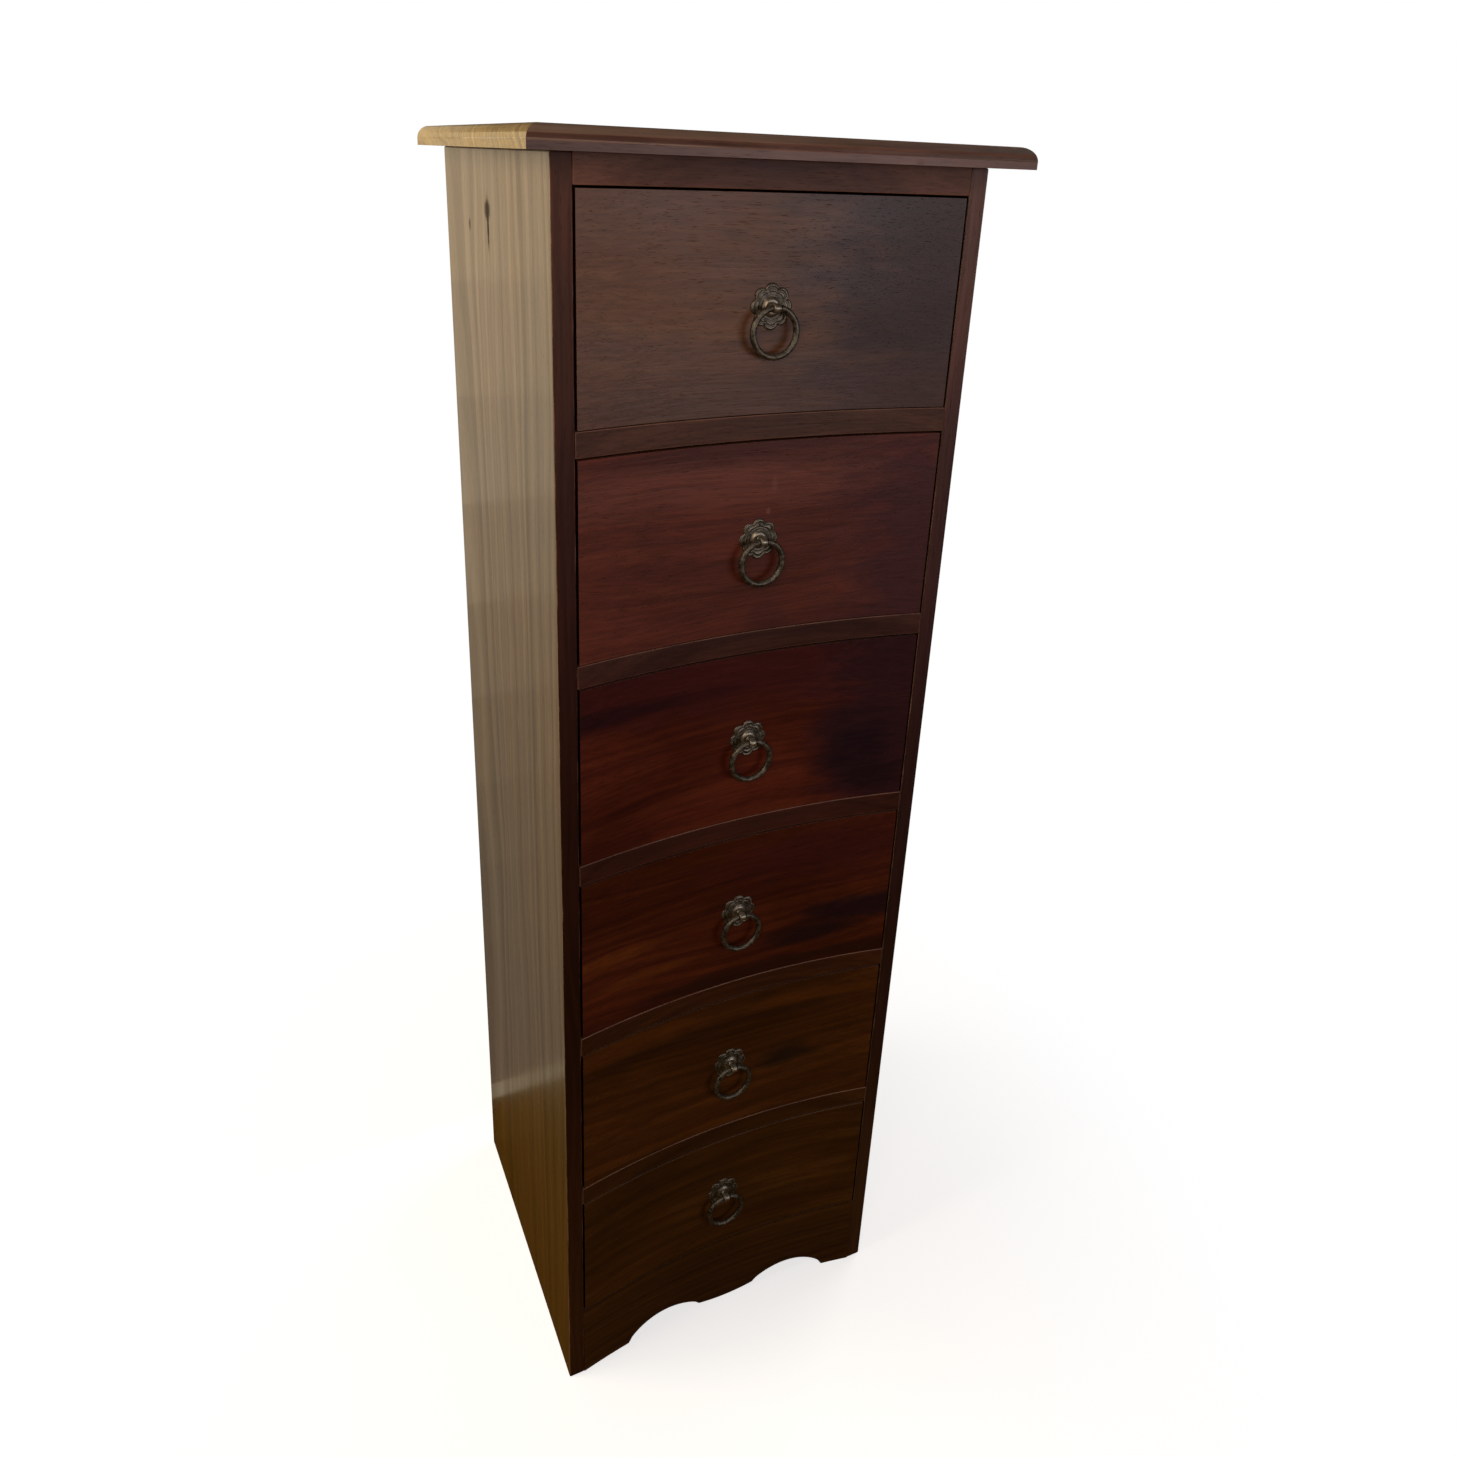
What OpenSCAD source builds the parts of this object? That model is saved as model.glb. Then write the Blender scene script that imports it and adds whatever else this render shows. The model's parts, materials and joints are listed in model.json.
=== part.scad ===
// Tall chest of six drawers with a concave front and hanging ring pulls.
// +X is to the right, +Y to the back and +Z up.
// The origin is on the floor, centred under the whole chest.

/* [Case] */
// Width of the case across its two side boards
case_w = 400; // [300:1:600]
// Depth of the case without the overhang of the top
case_d = 362; // [280:1:480]
// Thickness of each side board
side_t = 18; // [12:0.5:25]
// Thickness of the back panel
back_t = 6; // [4:0.5:8]
// Depth of the rebate behind the back panel's front face
rebate_d = 9; // [8.5:0.5:14]
// Width of the rebate into each side board
rebate_w = 8; // [4:0.5:10]

/* [Top] */
// Thickness of the top
top_t = 18; // [12:0.5:30]
// Overhang of the top beyond each side board
top_side_overhang = 26; // [0:1:50]
// Overhang of the top beyond the front
top_front_overhang = 32; // [0:1:60]
// Radius of the rounded upper edge
top_edge_r = 12; // [3:0.5:12]

/* [Front] */
// How far the middle of the front lies behind its ends
front_sag = 18; // [8:0.5:28]
// Height of the openings of the five upper drawers
opening_h = 188; // [110:1:260]
// Height of the bottom drawer's opening
low_opening_h = 170; // [110:1:260]
// Height of the rails between the drawers
rail_h = 22.5; // [16:0.5:35]
// Height of the rail under the top
top_rail_h = 23.5; // [16:0.5:45]
// Depth from the front of the case to the flat back of the rails
rail_d = 60; // [46:1:90]
// Length of the stub tenons in the side boards
tenon_l = 8; // [4:0.5:10]
// Thickness of the stub tenons
tenon_t = 10; // [6:0.5:12]

/* [Apron] */
// Height of the apron under the bottom drawer
apron_h = 104; // [80:1:160]
// Thickness of the curved apron
apron_t = 22; // [16:0.5:30]
// Width of a foot with the arches in the middle, from the outer face of the side board
foot_w = 66; // [44:1:90]
// How far the arches lie to the right of the middle
arch_shift = 12; // [0:1:14]
// Height of the two arches
arch_h = 24; // [12:0.5:40]
// Width of the drop between the arches
drop_w = 74; // [30:1:90]
// Height of the arches' inner ends, where the drop begins
cusp_h = 6; // [4:0.5:15]
// Height of the drop's lowest point above the floor
drop_z = 1.5; // [1:0.5:6]

/* [Drawers] */
// Thickness of a drawer front at its middle
front_t = 18; // [14:0.5:24]
// Gap at each end of a drawer
end_gap = 2; // [1:0.1:3]
// Gap above a drawer front
top_gap = 2; // [1:0.1:3]
// Gap under a drawer front
low_gap = 1; // [0.5:0.1:2]
// Thickness of a drawer's sides
drawer_side_t = 10; // [8:0.5:14]
// Thickness of a drawer's back
drawer_back_t = 10; // [8:0.5:14]
// Thickness of a drawer's bottom
drawer_bottom_t = 4; // [3:0.5:6]
// How much lower a drawer's sides are than its opening
side_drop = 14; // [10:1:30]
// Length of the dovetails
tail_l = 12; // [8:0.5:13]
// Number of dovetails on each corner
tails = 3; // [2:1:4]

/* [Inside the case] */
// Width of the runners
runner_w = 20; // [14:1:30]
// Depth of the rear rails
rear_rail_d = 28; // [20:1:50]
// Thickness of the bottom board
bottom_board_t = 9; // [6:0.5:15]
// Length of the stops behind the drawers
stop_l = 8; // [5:0.5:15]

/* [Ring pulls] */
// Radius of the ring's centre line
ring_r = 21; // [18:0.5:26]
// Radius of the ring's round section
wire_r = 2.9; // [2:0.1:3]
// Radius of the thin pin at the top of the ring
pin_r = 1.6; // [1.2:0.1:1.8]
// Radius of the plate to the tips of its lobes
plate_r = 20; // [16:0.5:24]
// Thickness of the plate's edge
plate_t = 1.6; // [1:0.1:2]
// Number of lobes around the plate
lobes = 8; // [6:1:10]
// Distance from the drawer front to the pin's centre line
post_out = 10; // [9:0.5:14]
// Radius of the eye bolt's knuckle
knuckle_r = 4.2; // [3.4:0.1:5]
// Width of the eye bolt's knuckle
knuckle_w = 6.8; // [5:0.2:9]
// Radius of the eye bolt's shank
shank_r = 2; // [1.5:0.1:2.5]

/* [Hidden] */
drawer_count = 6;
drawers = [1:drawer_count];
drawer_parts = ["front", "sides", "back", "bottom", "plate", "eye_bolt", "ring"];

dark_wood = "#4a241a";
side_wood = "#6b4a36";
pale_wood = "#b08a5e";
ply_wood = "#c2a070";
bronze = "#4d443a";
steel = "#8c8c88";

// Clearances
tenon_fit = 0.1;
run_gap = 0.3;
panel_fit = 0.1;
pin_fit = 0.05;
bolt_fit = 0.25;
ring_fit = 0.9;

// How far a cutter reaches past its piece, and a joined shape into it
overlap = 1;

// Overall places
case_h = apron_h + low_opening_h + (drawer_count - 1) * (opening_h + rail_h) + top_rail_h;
front_y = (top_front_overhang - case_d) / 2;
back_y = front_y + case_d;
inner_w = case_w - 2 * side_t;
half_in = inner_w / 2;
rail_y = front_y + rail_d;
panel_y = back_y - rebate_d;
rear_rail_y = panel_y - rear_rail_d;

// The front is one arc of a large circle whose centre lies in front of the chest
arc_r = (half_in * half_in + front_sag * front_sag) / (2 * front_sag);
face_y = front_y + front_sag;
arc_y = face_y - arc_r;
arc_fn = 360;
least_edge = 2; // least upright edge under the rounding of the top

// How far the tenons are set in from the edges of their pieces
rail_tenon_front = 16;
rail_tenon_back = 8;
apron_tenon_front = 6;
apron_tenon_low = 26;
apron_tenon_top = 16;

// Openings, numbered from the top
function opening(i) = i < drawer_count ? opening_h : low_opening_h;
function opening_top(i) = case_h - top_rail_h - (i - 1) * (opening_h + rail_h);
function opening_low(i) = opening_top(i) - opening(i);
function pull_z(i) = (opening_top(i) + opening_low(i)) / 2;

// Levels of the rear rails and runners: under each opening, and under the top
levels = concat([case_h - top_rail_h], [for (i = drawers) opening_low(i) - rail_h]);
function level_h(k) = k == 0 ? top_rail_h : rail_h;

// Drawer box
box_half = half_in - end_gap;
box_in = box_half - drawer_side_t;
front_back_y = face_y + front_t;
drawer_end_y = panel_y - stop_l;
groove = 5;
groove_z = 9;
dado = 4;
back_setback = 10;
back_drop = 4;
tail_neck = 0.333; // half width of a tail at its root, as a share of the pitch
tail_tip = 0.46; // half width of a tail at its end

// Ring pulls
hinge_y = face_y - post_out;
plate_y = arc_y + sqrt(arc_r * arc_r - plate_r * plate_r);
plate_front_y = plate_y - plate_t;
lobe_share = 0.34;
lobe_r = plate_r * lobe_share;
boss_r = 8;
boss_h = 1.6;
neck_r = 2.9;
neck_inset = 0.4;
bolt_end = 2;
ring_gap = asin((knuckle_w / 2 + ring_fit) / ring_r);
nut_t = 3.2;
nut_r = 4.2;
washer_r = 5.5;
washer_t = 1;

// Bottom board, blocks and screws
lowest_runner_z = opening_low(drawer_count) - rail_h;
board_z = lowest_runner_z - bottom_board_t;
block = 18;
block_l = 40;
block_share = 0.6; // place of the blocks behind the apron, from the middle to the side board
stop_h = 20;
stop_inset = 2;
screw_r = 2;
screw_head_r = 4;
screw_in = 10;
screw_share = 0.55; // place of the front screws, from the middle to the side board
front_screw_in = 16;
side_screw_in = 40;
tack_r = 1.2;
tack_head_r = 3;
tack_crown_r = 2.1;
tack_head_t = 1;
tack_l = 16;
tack_share = 0.8; // place of the outer tacks, from the middle to the side board

// ---------- shared shapes ----------

// A block from low corner a to high corner b
module block_between(a, b) {
    translate(a) cube(b - a);
}

// Everything in front of the concave curve, moved back by set
module in_front_of_curve(z0, z1, set = 0) {
    translate([0, arc_y, z0])
        linear_extrude(z1 - z0)
            circle(r = arc_r + set, $fn = arc_fn);
}

// A board with the concave front and a flat back
module concave_board(half, back, z0, z1) {
    difference() {
        block_between([-half, front_y, z0], [half, back, z1]);
        in_front_of_curve(z0 - overlap, z1 + overlap);
    }
}

// The pair of stub tenons on a rail, or their mortises when grown
module tenons(z_mid, h, y0, y1, grow = 0) {
    for (s = [-1, 1])
        translate([s * (half_in + (tenon_l - overlap) / 2), (y0 + y1) / 2, z_mid])
            cube([tenon_l + overlap + 2 * grow, y1 - y0 + 2 * grow, h + 2 * grow], center = true);
}

module all_tenons(grow = 0) {
    rail_tenons(case_h - top_rail_h / 2, grow);
    for (i = [1:drawer_count - 1])
        rail_tenons(opening_low(i) - rail_h / 2, grow);
    apron_tenons(grow);
}

module rail_tenons(z_mid, grow = 0) {
    tenons(z_mid, tenon_t, front_y + rail_tenon_front, rail_y - rail_tenon_back, grow);
}

module apron_tenons(grow = 0) {
    y = front_y + apron_tenon_front;
    h = apron_h - apron_tenon_low - apron_tenon_top;
    tenons(apron_tenon_low + h / 2, h, y, y + tenon_t, grow);
}

// ---------- case ----------

// Profile of the top, rounded on its upper edge at one or both ends
module top_profile(x0, x1, round_both) {
    r = min(top_edge_r, top_t - least_edge);
    difference() {
        translate([x0, 0]) square([x1 - x0, top_t]);
        rounded_corner_waste(x0, 1, r);
        if (round_both) rounded_corner_waste(x1, -1, r);
    }
}

// What a rounding cutter takes off one upper corner of the profile
module rounded_corner_waste(x, way, r) {
    translate([x, top_t]) scale([way, 1]) difference() {
        translate([-overlap, -r]) square([r + overlap, r + overlap]);
        translate([r, -r]) circle(r = r, $fn = 64);
    }
}

module top_panel() {
    half = case_w / 2 + top_side_overhang;
    y0 = front_y - top_front_overhang;
    color(dark_wood)
    translate([0, 0, case_h])
    difference() {
        intersection() {
            translate([0, back_y, 0]) rotate([90, 0, 0])
                linear_extrude(back_y - y0) top_profile(-half, half, true);
            translate([-half, 0, 0]) rotate([90, 0, 90])
                linear_extrude(2 * half) top_profile(y0, back_y, false);
        }
        translate([0, 0, -case_h]) top_screw_places() screw_shape(pin_fit);
    }
}

module side_board() {
    difference() {
        block_between([-case_w / 2, front_y, 0], [-half_in, back_y, case_h]);
        block_between(
            [-half_in - rebate_w, panel_y, -overlap],
            [-half_in + overlap, back_y + overlap, case_h + overlap]
        );
        all_tenons(tenon_fit);
    }
}

module left_side() {
    color(side_wood) side_board();
}

module right_side() {
    color(side_wood) mirror([1, 0, 0]) side_board();
}

module back_panel() {
    half = half_in + rebate_w - panel_fit;
    color(ply_wood)
    difference() {
        block_between([-half, panel_y, board_z], [half, panel_y + back_t, case_h]);
        back_screw_places() tack_shape(pin_fit);
    }
}

module front_rail(z0, h) {
    concave_board(half_in, rail_y, z0, z0 + h);
    rail_tenons(z0 + h / 2);
}

module top_rail() {
    color(dark_wood)
    difference() {
        front_rail(case_h - top_rail_h, top_rail_h);
        top_screw_places() screw_shape(pin_fit);
    }
}

module rail(i) {
    color(dark_wood) front_rail(opening_low(i) - rail_h, rail_h);
}

// Height of the apron's lower edge at a distance x from the middle of the drop
function arch_z(x) =
    abs(x) < drop_w / 2
        ? drop_z + (cusp_h - drop_z) * pow(2 * x / drop_w, 2)
        : let (t = (abs(x) - drop_w / 2) / arch_w)
            cusp_h * (1 - t) + (arch_h - cusp_h / 3) * pow(sin(180 * pow(t, arch_lean)), arch_round);

arch_w = case_w / 2 - foot_w - drop_w / 2;
arch_lean = 1.15; // above 1, the arch is highest nearer the foot
arch_round = 0.6; // below 1, the arch rises more steeply from its ends
arch_steps = 20;
drop_steps = 6;
arch_half = [
    for (k = [0:drop_steps - 1]) drop_w / 2 * k / drop_steps,
    for (k = [0:arch_steps - 1]) drop_w / 2 + arch_w * k / arch_steps
];

module apron_cut_out() {
    points = concat(
        [for (k = [len(arch_half) - 1:-1:1]) [-arch_half[k], arch_z(arch_half[k])]],
        [for (x = arch_half) [x, arch_z(x)]],
        [[drop_w / 2 + arch_w, 0], [drop_w / 2 + arch_w, -overlap]],
        [[-drop_w / 2 - arch_w, -overlap], [-drop_w / 2 - arch_w, 0]]
    );
    translate([arch_shift, rail_y, 0]) rotate([90, 0, 0])
        linear_extrude(2 * rail_d) polygon(points);
}

module apron() {
    color(dark_wood)
    difference() {
        union() {
            intersection() {
                concave_board(half_in, rail_y, 0, apron_h);
                in_front_of_curve(-overlap, apron_h + overlap, apron_t);
            }
            apron_tenons();
        }
        apron_cut_out();
    }
}

// ---------- inside the case ----------

module bottom_board() {
    color(pale_wood)
    difference() {
        block_between(
            [-half_in, front_y, board_z],
            [half_in, panel_y, lowest_runner_z]
        );
        in_front_of_curve(board_z - overlap, lowest_runner_z + overlap, apron_t);
    }
}

module runners() {
    color(pale_wood)
    difference() {
        for (k = [0:len(levels) - 1], s = [-1, 1])
            translate([s * (half_in - runner_w / 2), (rail_y + rear_rail_y) / 2, levels[k] + level_h(k) / 2])
                cube([runner_w, rear_rail_y - rail_y, level_h(k)], center = true);
        top_screw_places() screw_shape(pin_fit);
    }
}

module rear_rails() {
    color(pale_wood)
    difference() {
        for (k = [0:len(levels) - 1])
            block_between(
                [-half_in, rear_rail_y, levels[k]],
                [half_in, panel_y, levels[k] + level_h(k)]
            );
        back_screw_places() tack_shape(pin_fit);
    }
}

module drawer_stops() {
    y = panel_y - (stop_l - run_gap) / 2;
    color(pale_wood)
    for (i = drawers, s = [-1, 1])
        translate([s * (half_in - runner_w / 2), y, opening_low(i) + stop_h / 2])
            cube([runner_w - 2 * stop_inset, stop_l - run_gap, stop_h], center = true);
}

// A three-cornered block, lying along X with its square corner at the origin
module glue_block() {
    rotate([90, 0, 90]) translate([0, 0, -block_l / 2])
        linear_extrude(block_l) polygon([[0, 0], [block, 0], [0, -block]]);
}

module glue_blocks() {
    back_x = half_in * block_share;
    apron_back_y = arc_y + sqrt(pow(arc_r + apron_t, 2) - pow(back_x - block_l / 2, 2));
    color(pale_wood)
    for (s = [-1, 1]) {
        translate([s * back_x, apron_back_y, board_z]) glue_block();
        translate([s * half_in, (front_y + back_y) / 2, board_z]) rotate([0, 0, s * 90]) glue_block();
    }
}

// Screws that hold the top from below, through the top rail and the upper runners
module top_screw_places() {
    ys = [rear_rail_y - side_screw_in, (rail_y + rear_rail_y) / 2 - side_screw_in];
    for (s = [-1, 1]) {
        translate([s * half_in * screw_share, rail_y - front_screw_in, case_h - top_rail_h]) children();
        for (y = ys)
            translate([s * (half_in - runner_w / 2), y, case_h - top_rail_h]) children();
    }
}

module screw_shape(grow = 0) {
    head_h = screw_head_r - screw_r;
    translate([0, 0, -grow])
        cylinder(r1 = screw_head_r + grow, r2 = screw_r + grow, h = head_h, $fn = 32);
    translate([0, 0, -grow])
        cylinder(r = screw_r + grow, h = top_rail_h + screw_in + 2 * grow, $fn = 32);
}

module top_screws() {
    color(steel)
    difference() {
        top_screw_places() screw_shape();
        top_screw_places() cross_slot(screw_head_r);
    }
}

module cross_slot(r) {
    slot_l = r * 1.2;
    slot_w = r * 0.3;
    slot_depth = 1;
    for (a = [0, 90])
        rotate([0, 0, a]) cube([slot_l, slot_w, 2 * slot_depth], center = true);
}

// Round-headed tacks through the back panel into the rear rails
module back_screw_places() {
    for (k = [0:len(levels) - 1], x = [-tack_share, 0, tack_share])
        translate([x * half_in, panel_y + back_t, levels[k] + level_h(k) / 2])
            rotate([90, 0, 0]) children();
}

module tack_shape(grow = 0) {
    cylinder(r = tack_r + grow, h = tack_l + grow, $fn = 24);
}

module back_screws() {
    color(steel)
    back_screw_places() {
        tack_shape();
        translate([0, 0, -tack_head_t])
            cylinder(r1 = tack_crown_r, r2 = tack_head_r, h = tack_head_t, $fn = 24);
    }
}

// ---------- drawers ----------

function side_h(i) = opening(i) - side_drop;
function box_z(i) = opening_low(i) + run_gap;

// Dovetails of one drawer corner on the right, or their sockets when grown
module dovetails(i, grow = 0) {
    pitch = side_h(i) / tails;
    for (k = [0:tails - 1])
        translate([box_in - grow, front_back_y, box_z(i) + pitch * (k + 0.5)])
            rotate([90, 0, 90])
                linear_extrude(drawer_side_t + 2 * grow)
                    polygon([
                        [overlap, -pitch * tail_neck - grow],
                        [-tail_l - grow, -pitch * tail_tip - grow],
                        [-tail_l - grow, pitch * tail_tip + grow],
                        [overlap, pitch * tail_neck + grow]
                    ]);
}

// Both dovetailed corners of a drawer
module corner_dovetails(i, grow = 0) {
    dovetails(i, grow);
    mirror([1, 0, 0]) dovetails(i, grow);
}

module bottom_shape(i, grow = 0) {
    block_between(
        [-box_in - groove - grow, front_back_y - groove - grow, box_z(i) + groove_z - grow],
        [
            box_in + groove + grow,
            drawer_end_y - back_setback + grow,
            box_z(i) + groove_z + drawer_bottom_t + grow
        ]
    );
}

module back_shape(i, grow = 0) {
    block_between(
        [
            -box_in - dado - grow,
            drawer_end_y - back_setback - drawer_back_t - grow,
            box_z(i) + groove_z + drawer_bottom_t + panel_fit
        ],
        [box_in + dado + grow, drawer_end_y - back_setback + grow, box_z(i) + side_h(i) - back_drop]
    );
}

module pull_hole(i, r) {
    translate([0, front_y - rail_d, pull_z(i)])
        rotate([-90, 0, 0]) cylinder(r = r, h = 3 * rail_d, $fn = 32);
}

module drawer_front(i) {
    color(dark_wood)
    difference() {
        concave_board(box_half, front_back_y, opening_low(i) + low_gap, opening_top(i) - top_gap);
        corner_dovetails(i, panel_fit);
        bottom_shape(i, panel_fit);
        pull_hole(i, shank_r + bolt_fit);
    }
}

module drawer_sides(i) {
    color(pale_wood)
    difference() {
        union() {
            for (s = [-1, 1])
                translate([
                    s * (box_in + drawer_side_t / 2),
                    (front_back_y + drawer_end_y) / 2,
                    box_z(i) + side_h(i) / 2
                ])
                    cube([drawer_side_t, drawer_end_y - front_back_y, side_h(i)], center = true);
            corner_dovetails(i);
        }
        bottom_shape(i, panel_fit);
        back_shape(i, panel_fit);
    }
}

module drawer_back(i) {
    color(pale_wood) back_shape(i);
}

module drawer_bottom(i) {
    color(ply_wood) bottom_shape(i);
}

// ---------- ring pulls ----------

// The lobed outline of the plate
module plate_outline() {
    circle(r = plate_r - lobe_r, $fn = 64);
    for (k = [0:lobes - 1])
        rotate(k * 360 / lobes + 90) translate([plate_r - lobe_r, 0]) circle(r = lobe_r, $fn = 48);
}

module pull_plate(i) {
    color(bronze)
    difference() {
        translate([0, plate_y, pull_z(i)]) rotate([90, 0, 0]) {
            linear_extrude(plate_t) plate_outline();
            cylinder(r1 = boss_r + boss_h, r2 = boss_r - boss_h, h = plate_t + boss_h, $fn = 48);
        }
        pull_hole(i, shank_r + panel_fit);
    }
}

// The eye bolt with its washer and nut inside the drawer
module eye_bolt(i) {
    boss_y = plate_front_y - boss_h;
    nut_y = front_back_y + washer_t;
    color(bronze)
    translate([0, 0, pull_z(i)]) {
        difference() {
            union() {
                translate([0, boss_y, 0]) rotate([90, 0, 0])
                    cylinder(r = min(neck_r, knuckle_w / 2 - neck_inset), h = boss_y - hinge_y, $fn = 48);
                translate([0, hinge_y, 0]) rotate([0, 90, 0])
                    cylinder(r = knuckle_r, h = knuckle_w, center = true, $fn = 48);
                translate([0, boss_y - overlap, 0]) rotate([-90, 0, 0])
                    cylinder(r = shank_r, h = nut_y + nut_t + bolt_end - boss_y, $fn = 32);
            }
            translate([0, hinge_y, 0]) rotate([0, 90, 0])
                cylinder(r = pin_r + pin_fit, h = 2 * knuckle_w, center = true, $fn = 32);
        }
        translate([0, front_back_y, 0]) rotate([-90, 0, 0])
            difference() {
                union() {
                    cylinder(r = washer_r, h = washer_t, $fn = 32);
                    cylinder(r = nut_r, h = washer_t + nut_t, $fn = 6);
                }
                translate([0, 0, -overlap]) cylinder(r = shank_r + pin_fit, h = 3 * nut_t, $fn = 32);
            }
    }
}

module pull_ring(i) {
    drop = ring_r * cos(ring_gap);
    reach = ring_r * sin(ring_gap);
    color(bronze)
    translate([0, hinge_y, pull_z(i)]) {
        translate([0, 0, -drop]) rotate([90, 0, 0]) rotate([0, 0, 90 + ring_gap])
            rotate_extrude(angle = 360 - 2 * ring_gap, $fn = 96)
                translate([ring_r, 0]) circle(r = wire_r, $fn = 32);
        rotate([0, 90, 0]) cylinder(r = pin_r, h = 2 * (reach + overlap), center = true, $fn = 32);
    }
}

top_panel();
left_side();
right_side();
back_panel();
top_rail();
for (i = [1:drawer_count - 1])
    rail(i);
apron();
bottom_board();
runners();
rear_rails();
drawer_stops();
glue_blocks();
top_screws();
back_screws();
for (i = drawers) {
    drawer_front(i);
    drawer_sides(i);
    drawer_back(i);
    drawer_bottom(i);
    pull_plate(i);
    eye_bolt(i);
    pull_ring(i);
}
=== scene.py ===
import json
import math

import bmesh
import bpy
from mathutils import Matrix, Vector


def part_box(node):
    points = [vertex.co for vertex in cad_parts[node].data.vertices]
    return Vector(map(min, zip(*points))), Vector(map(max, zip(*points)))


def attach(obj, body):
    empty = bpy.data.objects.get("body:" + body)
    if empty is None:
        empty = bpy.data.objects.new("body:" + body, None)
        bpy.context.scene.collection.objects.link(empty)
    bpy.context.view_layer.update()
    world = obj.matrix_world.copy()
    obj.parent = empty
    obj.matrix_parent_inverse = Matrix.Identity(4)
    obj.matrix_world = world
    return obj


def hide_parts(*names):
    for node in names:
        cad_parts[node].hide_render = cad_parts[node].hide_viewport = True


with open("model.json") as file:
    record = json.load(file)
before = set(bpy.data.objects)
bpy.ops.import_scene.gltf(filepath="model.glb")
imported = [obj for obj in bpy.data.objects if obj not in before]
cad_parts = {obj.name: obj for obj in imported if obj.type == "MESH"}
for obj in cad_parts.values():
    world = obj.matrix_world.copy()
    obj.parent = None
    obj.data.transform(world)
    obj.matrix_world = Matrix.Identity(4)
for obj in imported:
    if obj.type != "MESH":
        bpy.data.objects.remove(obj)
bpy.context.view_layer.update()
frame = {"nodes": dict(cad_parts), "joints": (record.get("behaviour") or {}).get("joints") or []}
nodes = frame["nodes"]
scene = bpy.context.scene

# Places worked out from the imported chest, in metres
drawerCount = sum(1 for name in nodes if name.endswith("_ring"))
drawerNumbers = range(1, drawerCount + 1)
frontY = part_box("left_side")[0].y
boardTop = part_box("left_side")[1].z
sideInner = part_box("right_side")[0].x
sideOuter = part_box("left_side")[0].x
hinges = {j["child"]: Vector(j["pos_m"]) for j in frame["joints"] if j["type"] == "hinge"}


# The studio: camera, lamps, pale floor

view = {
    "place": (-0.44996, -0.99437, 1.3494),
    "turnRight": 25.85,
    "tipDown": 21.49,
    "roll": 2.354,
    "lens": 26.92,
    "sensor": 36.0,
    "shift": (0.0072, -0.0970),
}


def placeCamera():
    camera = bpy.data.cameras.new("studioCamera")
    camera.lens = view["lens"]
    camera.sensor_width = view["sensor"]
    camera.shift_x, camera.shift_y = view["shift"]
    camera.dof.use_dof = False
    holder = bpy.data.objects.new("studioCamera", camera)
    scene.collection.objects.link(holder)
    turn = Matrix.Rotation(math.radians(-view["turnRight"]), 4, "Z")
    tip = Matrix.Rotation(math.radians(90 - view["tipDown"]), 4, "X")
    roll = Matrix.Rotation(math.radians(view["roll"]), 4, "Z")
    holder.matrix_world = Matrix.Translation(view["place"]) @ turn @ tip @ roll
    scene.camera = holder


lamps = {  # name: place, point it faces, width, height, power, colour
    "windowLeft": ((-2.5, 0.3, 2.0), (-0.2, 0.0, 0.9), 1.8, 1.8, 60.0, (1.0, 0.90, 0.70)),
    "frontCard": ((1.5, -3.0, 1.2), (0.0, -0.1, 1.0), 1.8, 1.0, 15.0, (1.0, 0.90, 0.96)),
    "nearFill": ((-0.7, -1.3, 1.75), (0.0, -0.15, 1.45), 0.9, 0.9, 6.5, (1.0, 0.74, 0.60)),
    "rightCard": ((2.3, 0.9, 1.3), (0.2, 0.0, 0.7), 1.6, 1.8, 26.0, (1.0, 0.95, 0.88)),
}
# The pale wall behind the chest, which the polished left board mirrors: strips that dim downwards
wallGlow = {
    "middleX": -0.85, "behind": 0.26, "width": 1.3, "low": 0.046, "high": 1.60, "strips": 12,
    "levels": [(0.0, 0.125), (0.36, 0.148), (0.60, 0.185), (0.82, 0.31), (1.0, 0.53), (1.3, 0.82),
               (1.6, 0.90)],  # height above the floor, brightness
    "lowColour": (0.92, 0.92, 0.86), "highColour": (1.0, 0.79, 0.52),
}
skirting = {"low": 0.014, "high": 0.044, "brightness": 0.36, "colour": (1.0, 0.92, 0.66)}


def hangLamp(name, place, aim, width, height, power, colour):
    lamp = bpy.data.lights.new(name, "AREA")
    lamp.shape = "RECTANGLE"
    lamp.size = width
    lamp.size_y = height
    lamp.energy = power
    lamp.color = colour
    holder = bpy.data.objects.new(name, lamp)
    scene.collection.objects.link(holder)
    holder.location = place
    holder.rotation_euler = (Vector(aim) - Vector(place)).to_track_quat("-Z", "Y").to_euler()
    holder.visible_camera = False


def between(stops, place):
    # straight-line value between listed (place, value) stops
    for (low, first), (high, second) in zip(stops, stops[1:]):
        if place <= high:
            return first + (second - first) * (place - low) / (high - low)
    return stops[-1][1]


def hangStrip(name, low, high, brightness, colour):
    place = (wallGlow["middleX"], wallGlow["behind"], (low + high) / 2)
    power = brightness * math.pi * wallGlow["width"] * (high - low)
    hangLamp(name, place, (place[0], -1.0, place[2]), wallGlow["width"], high - low, power, colour)


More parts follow.
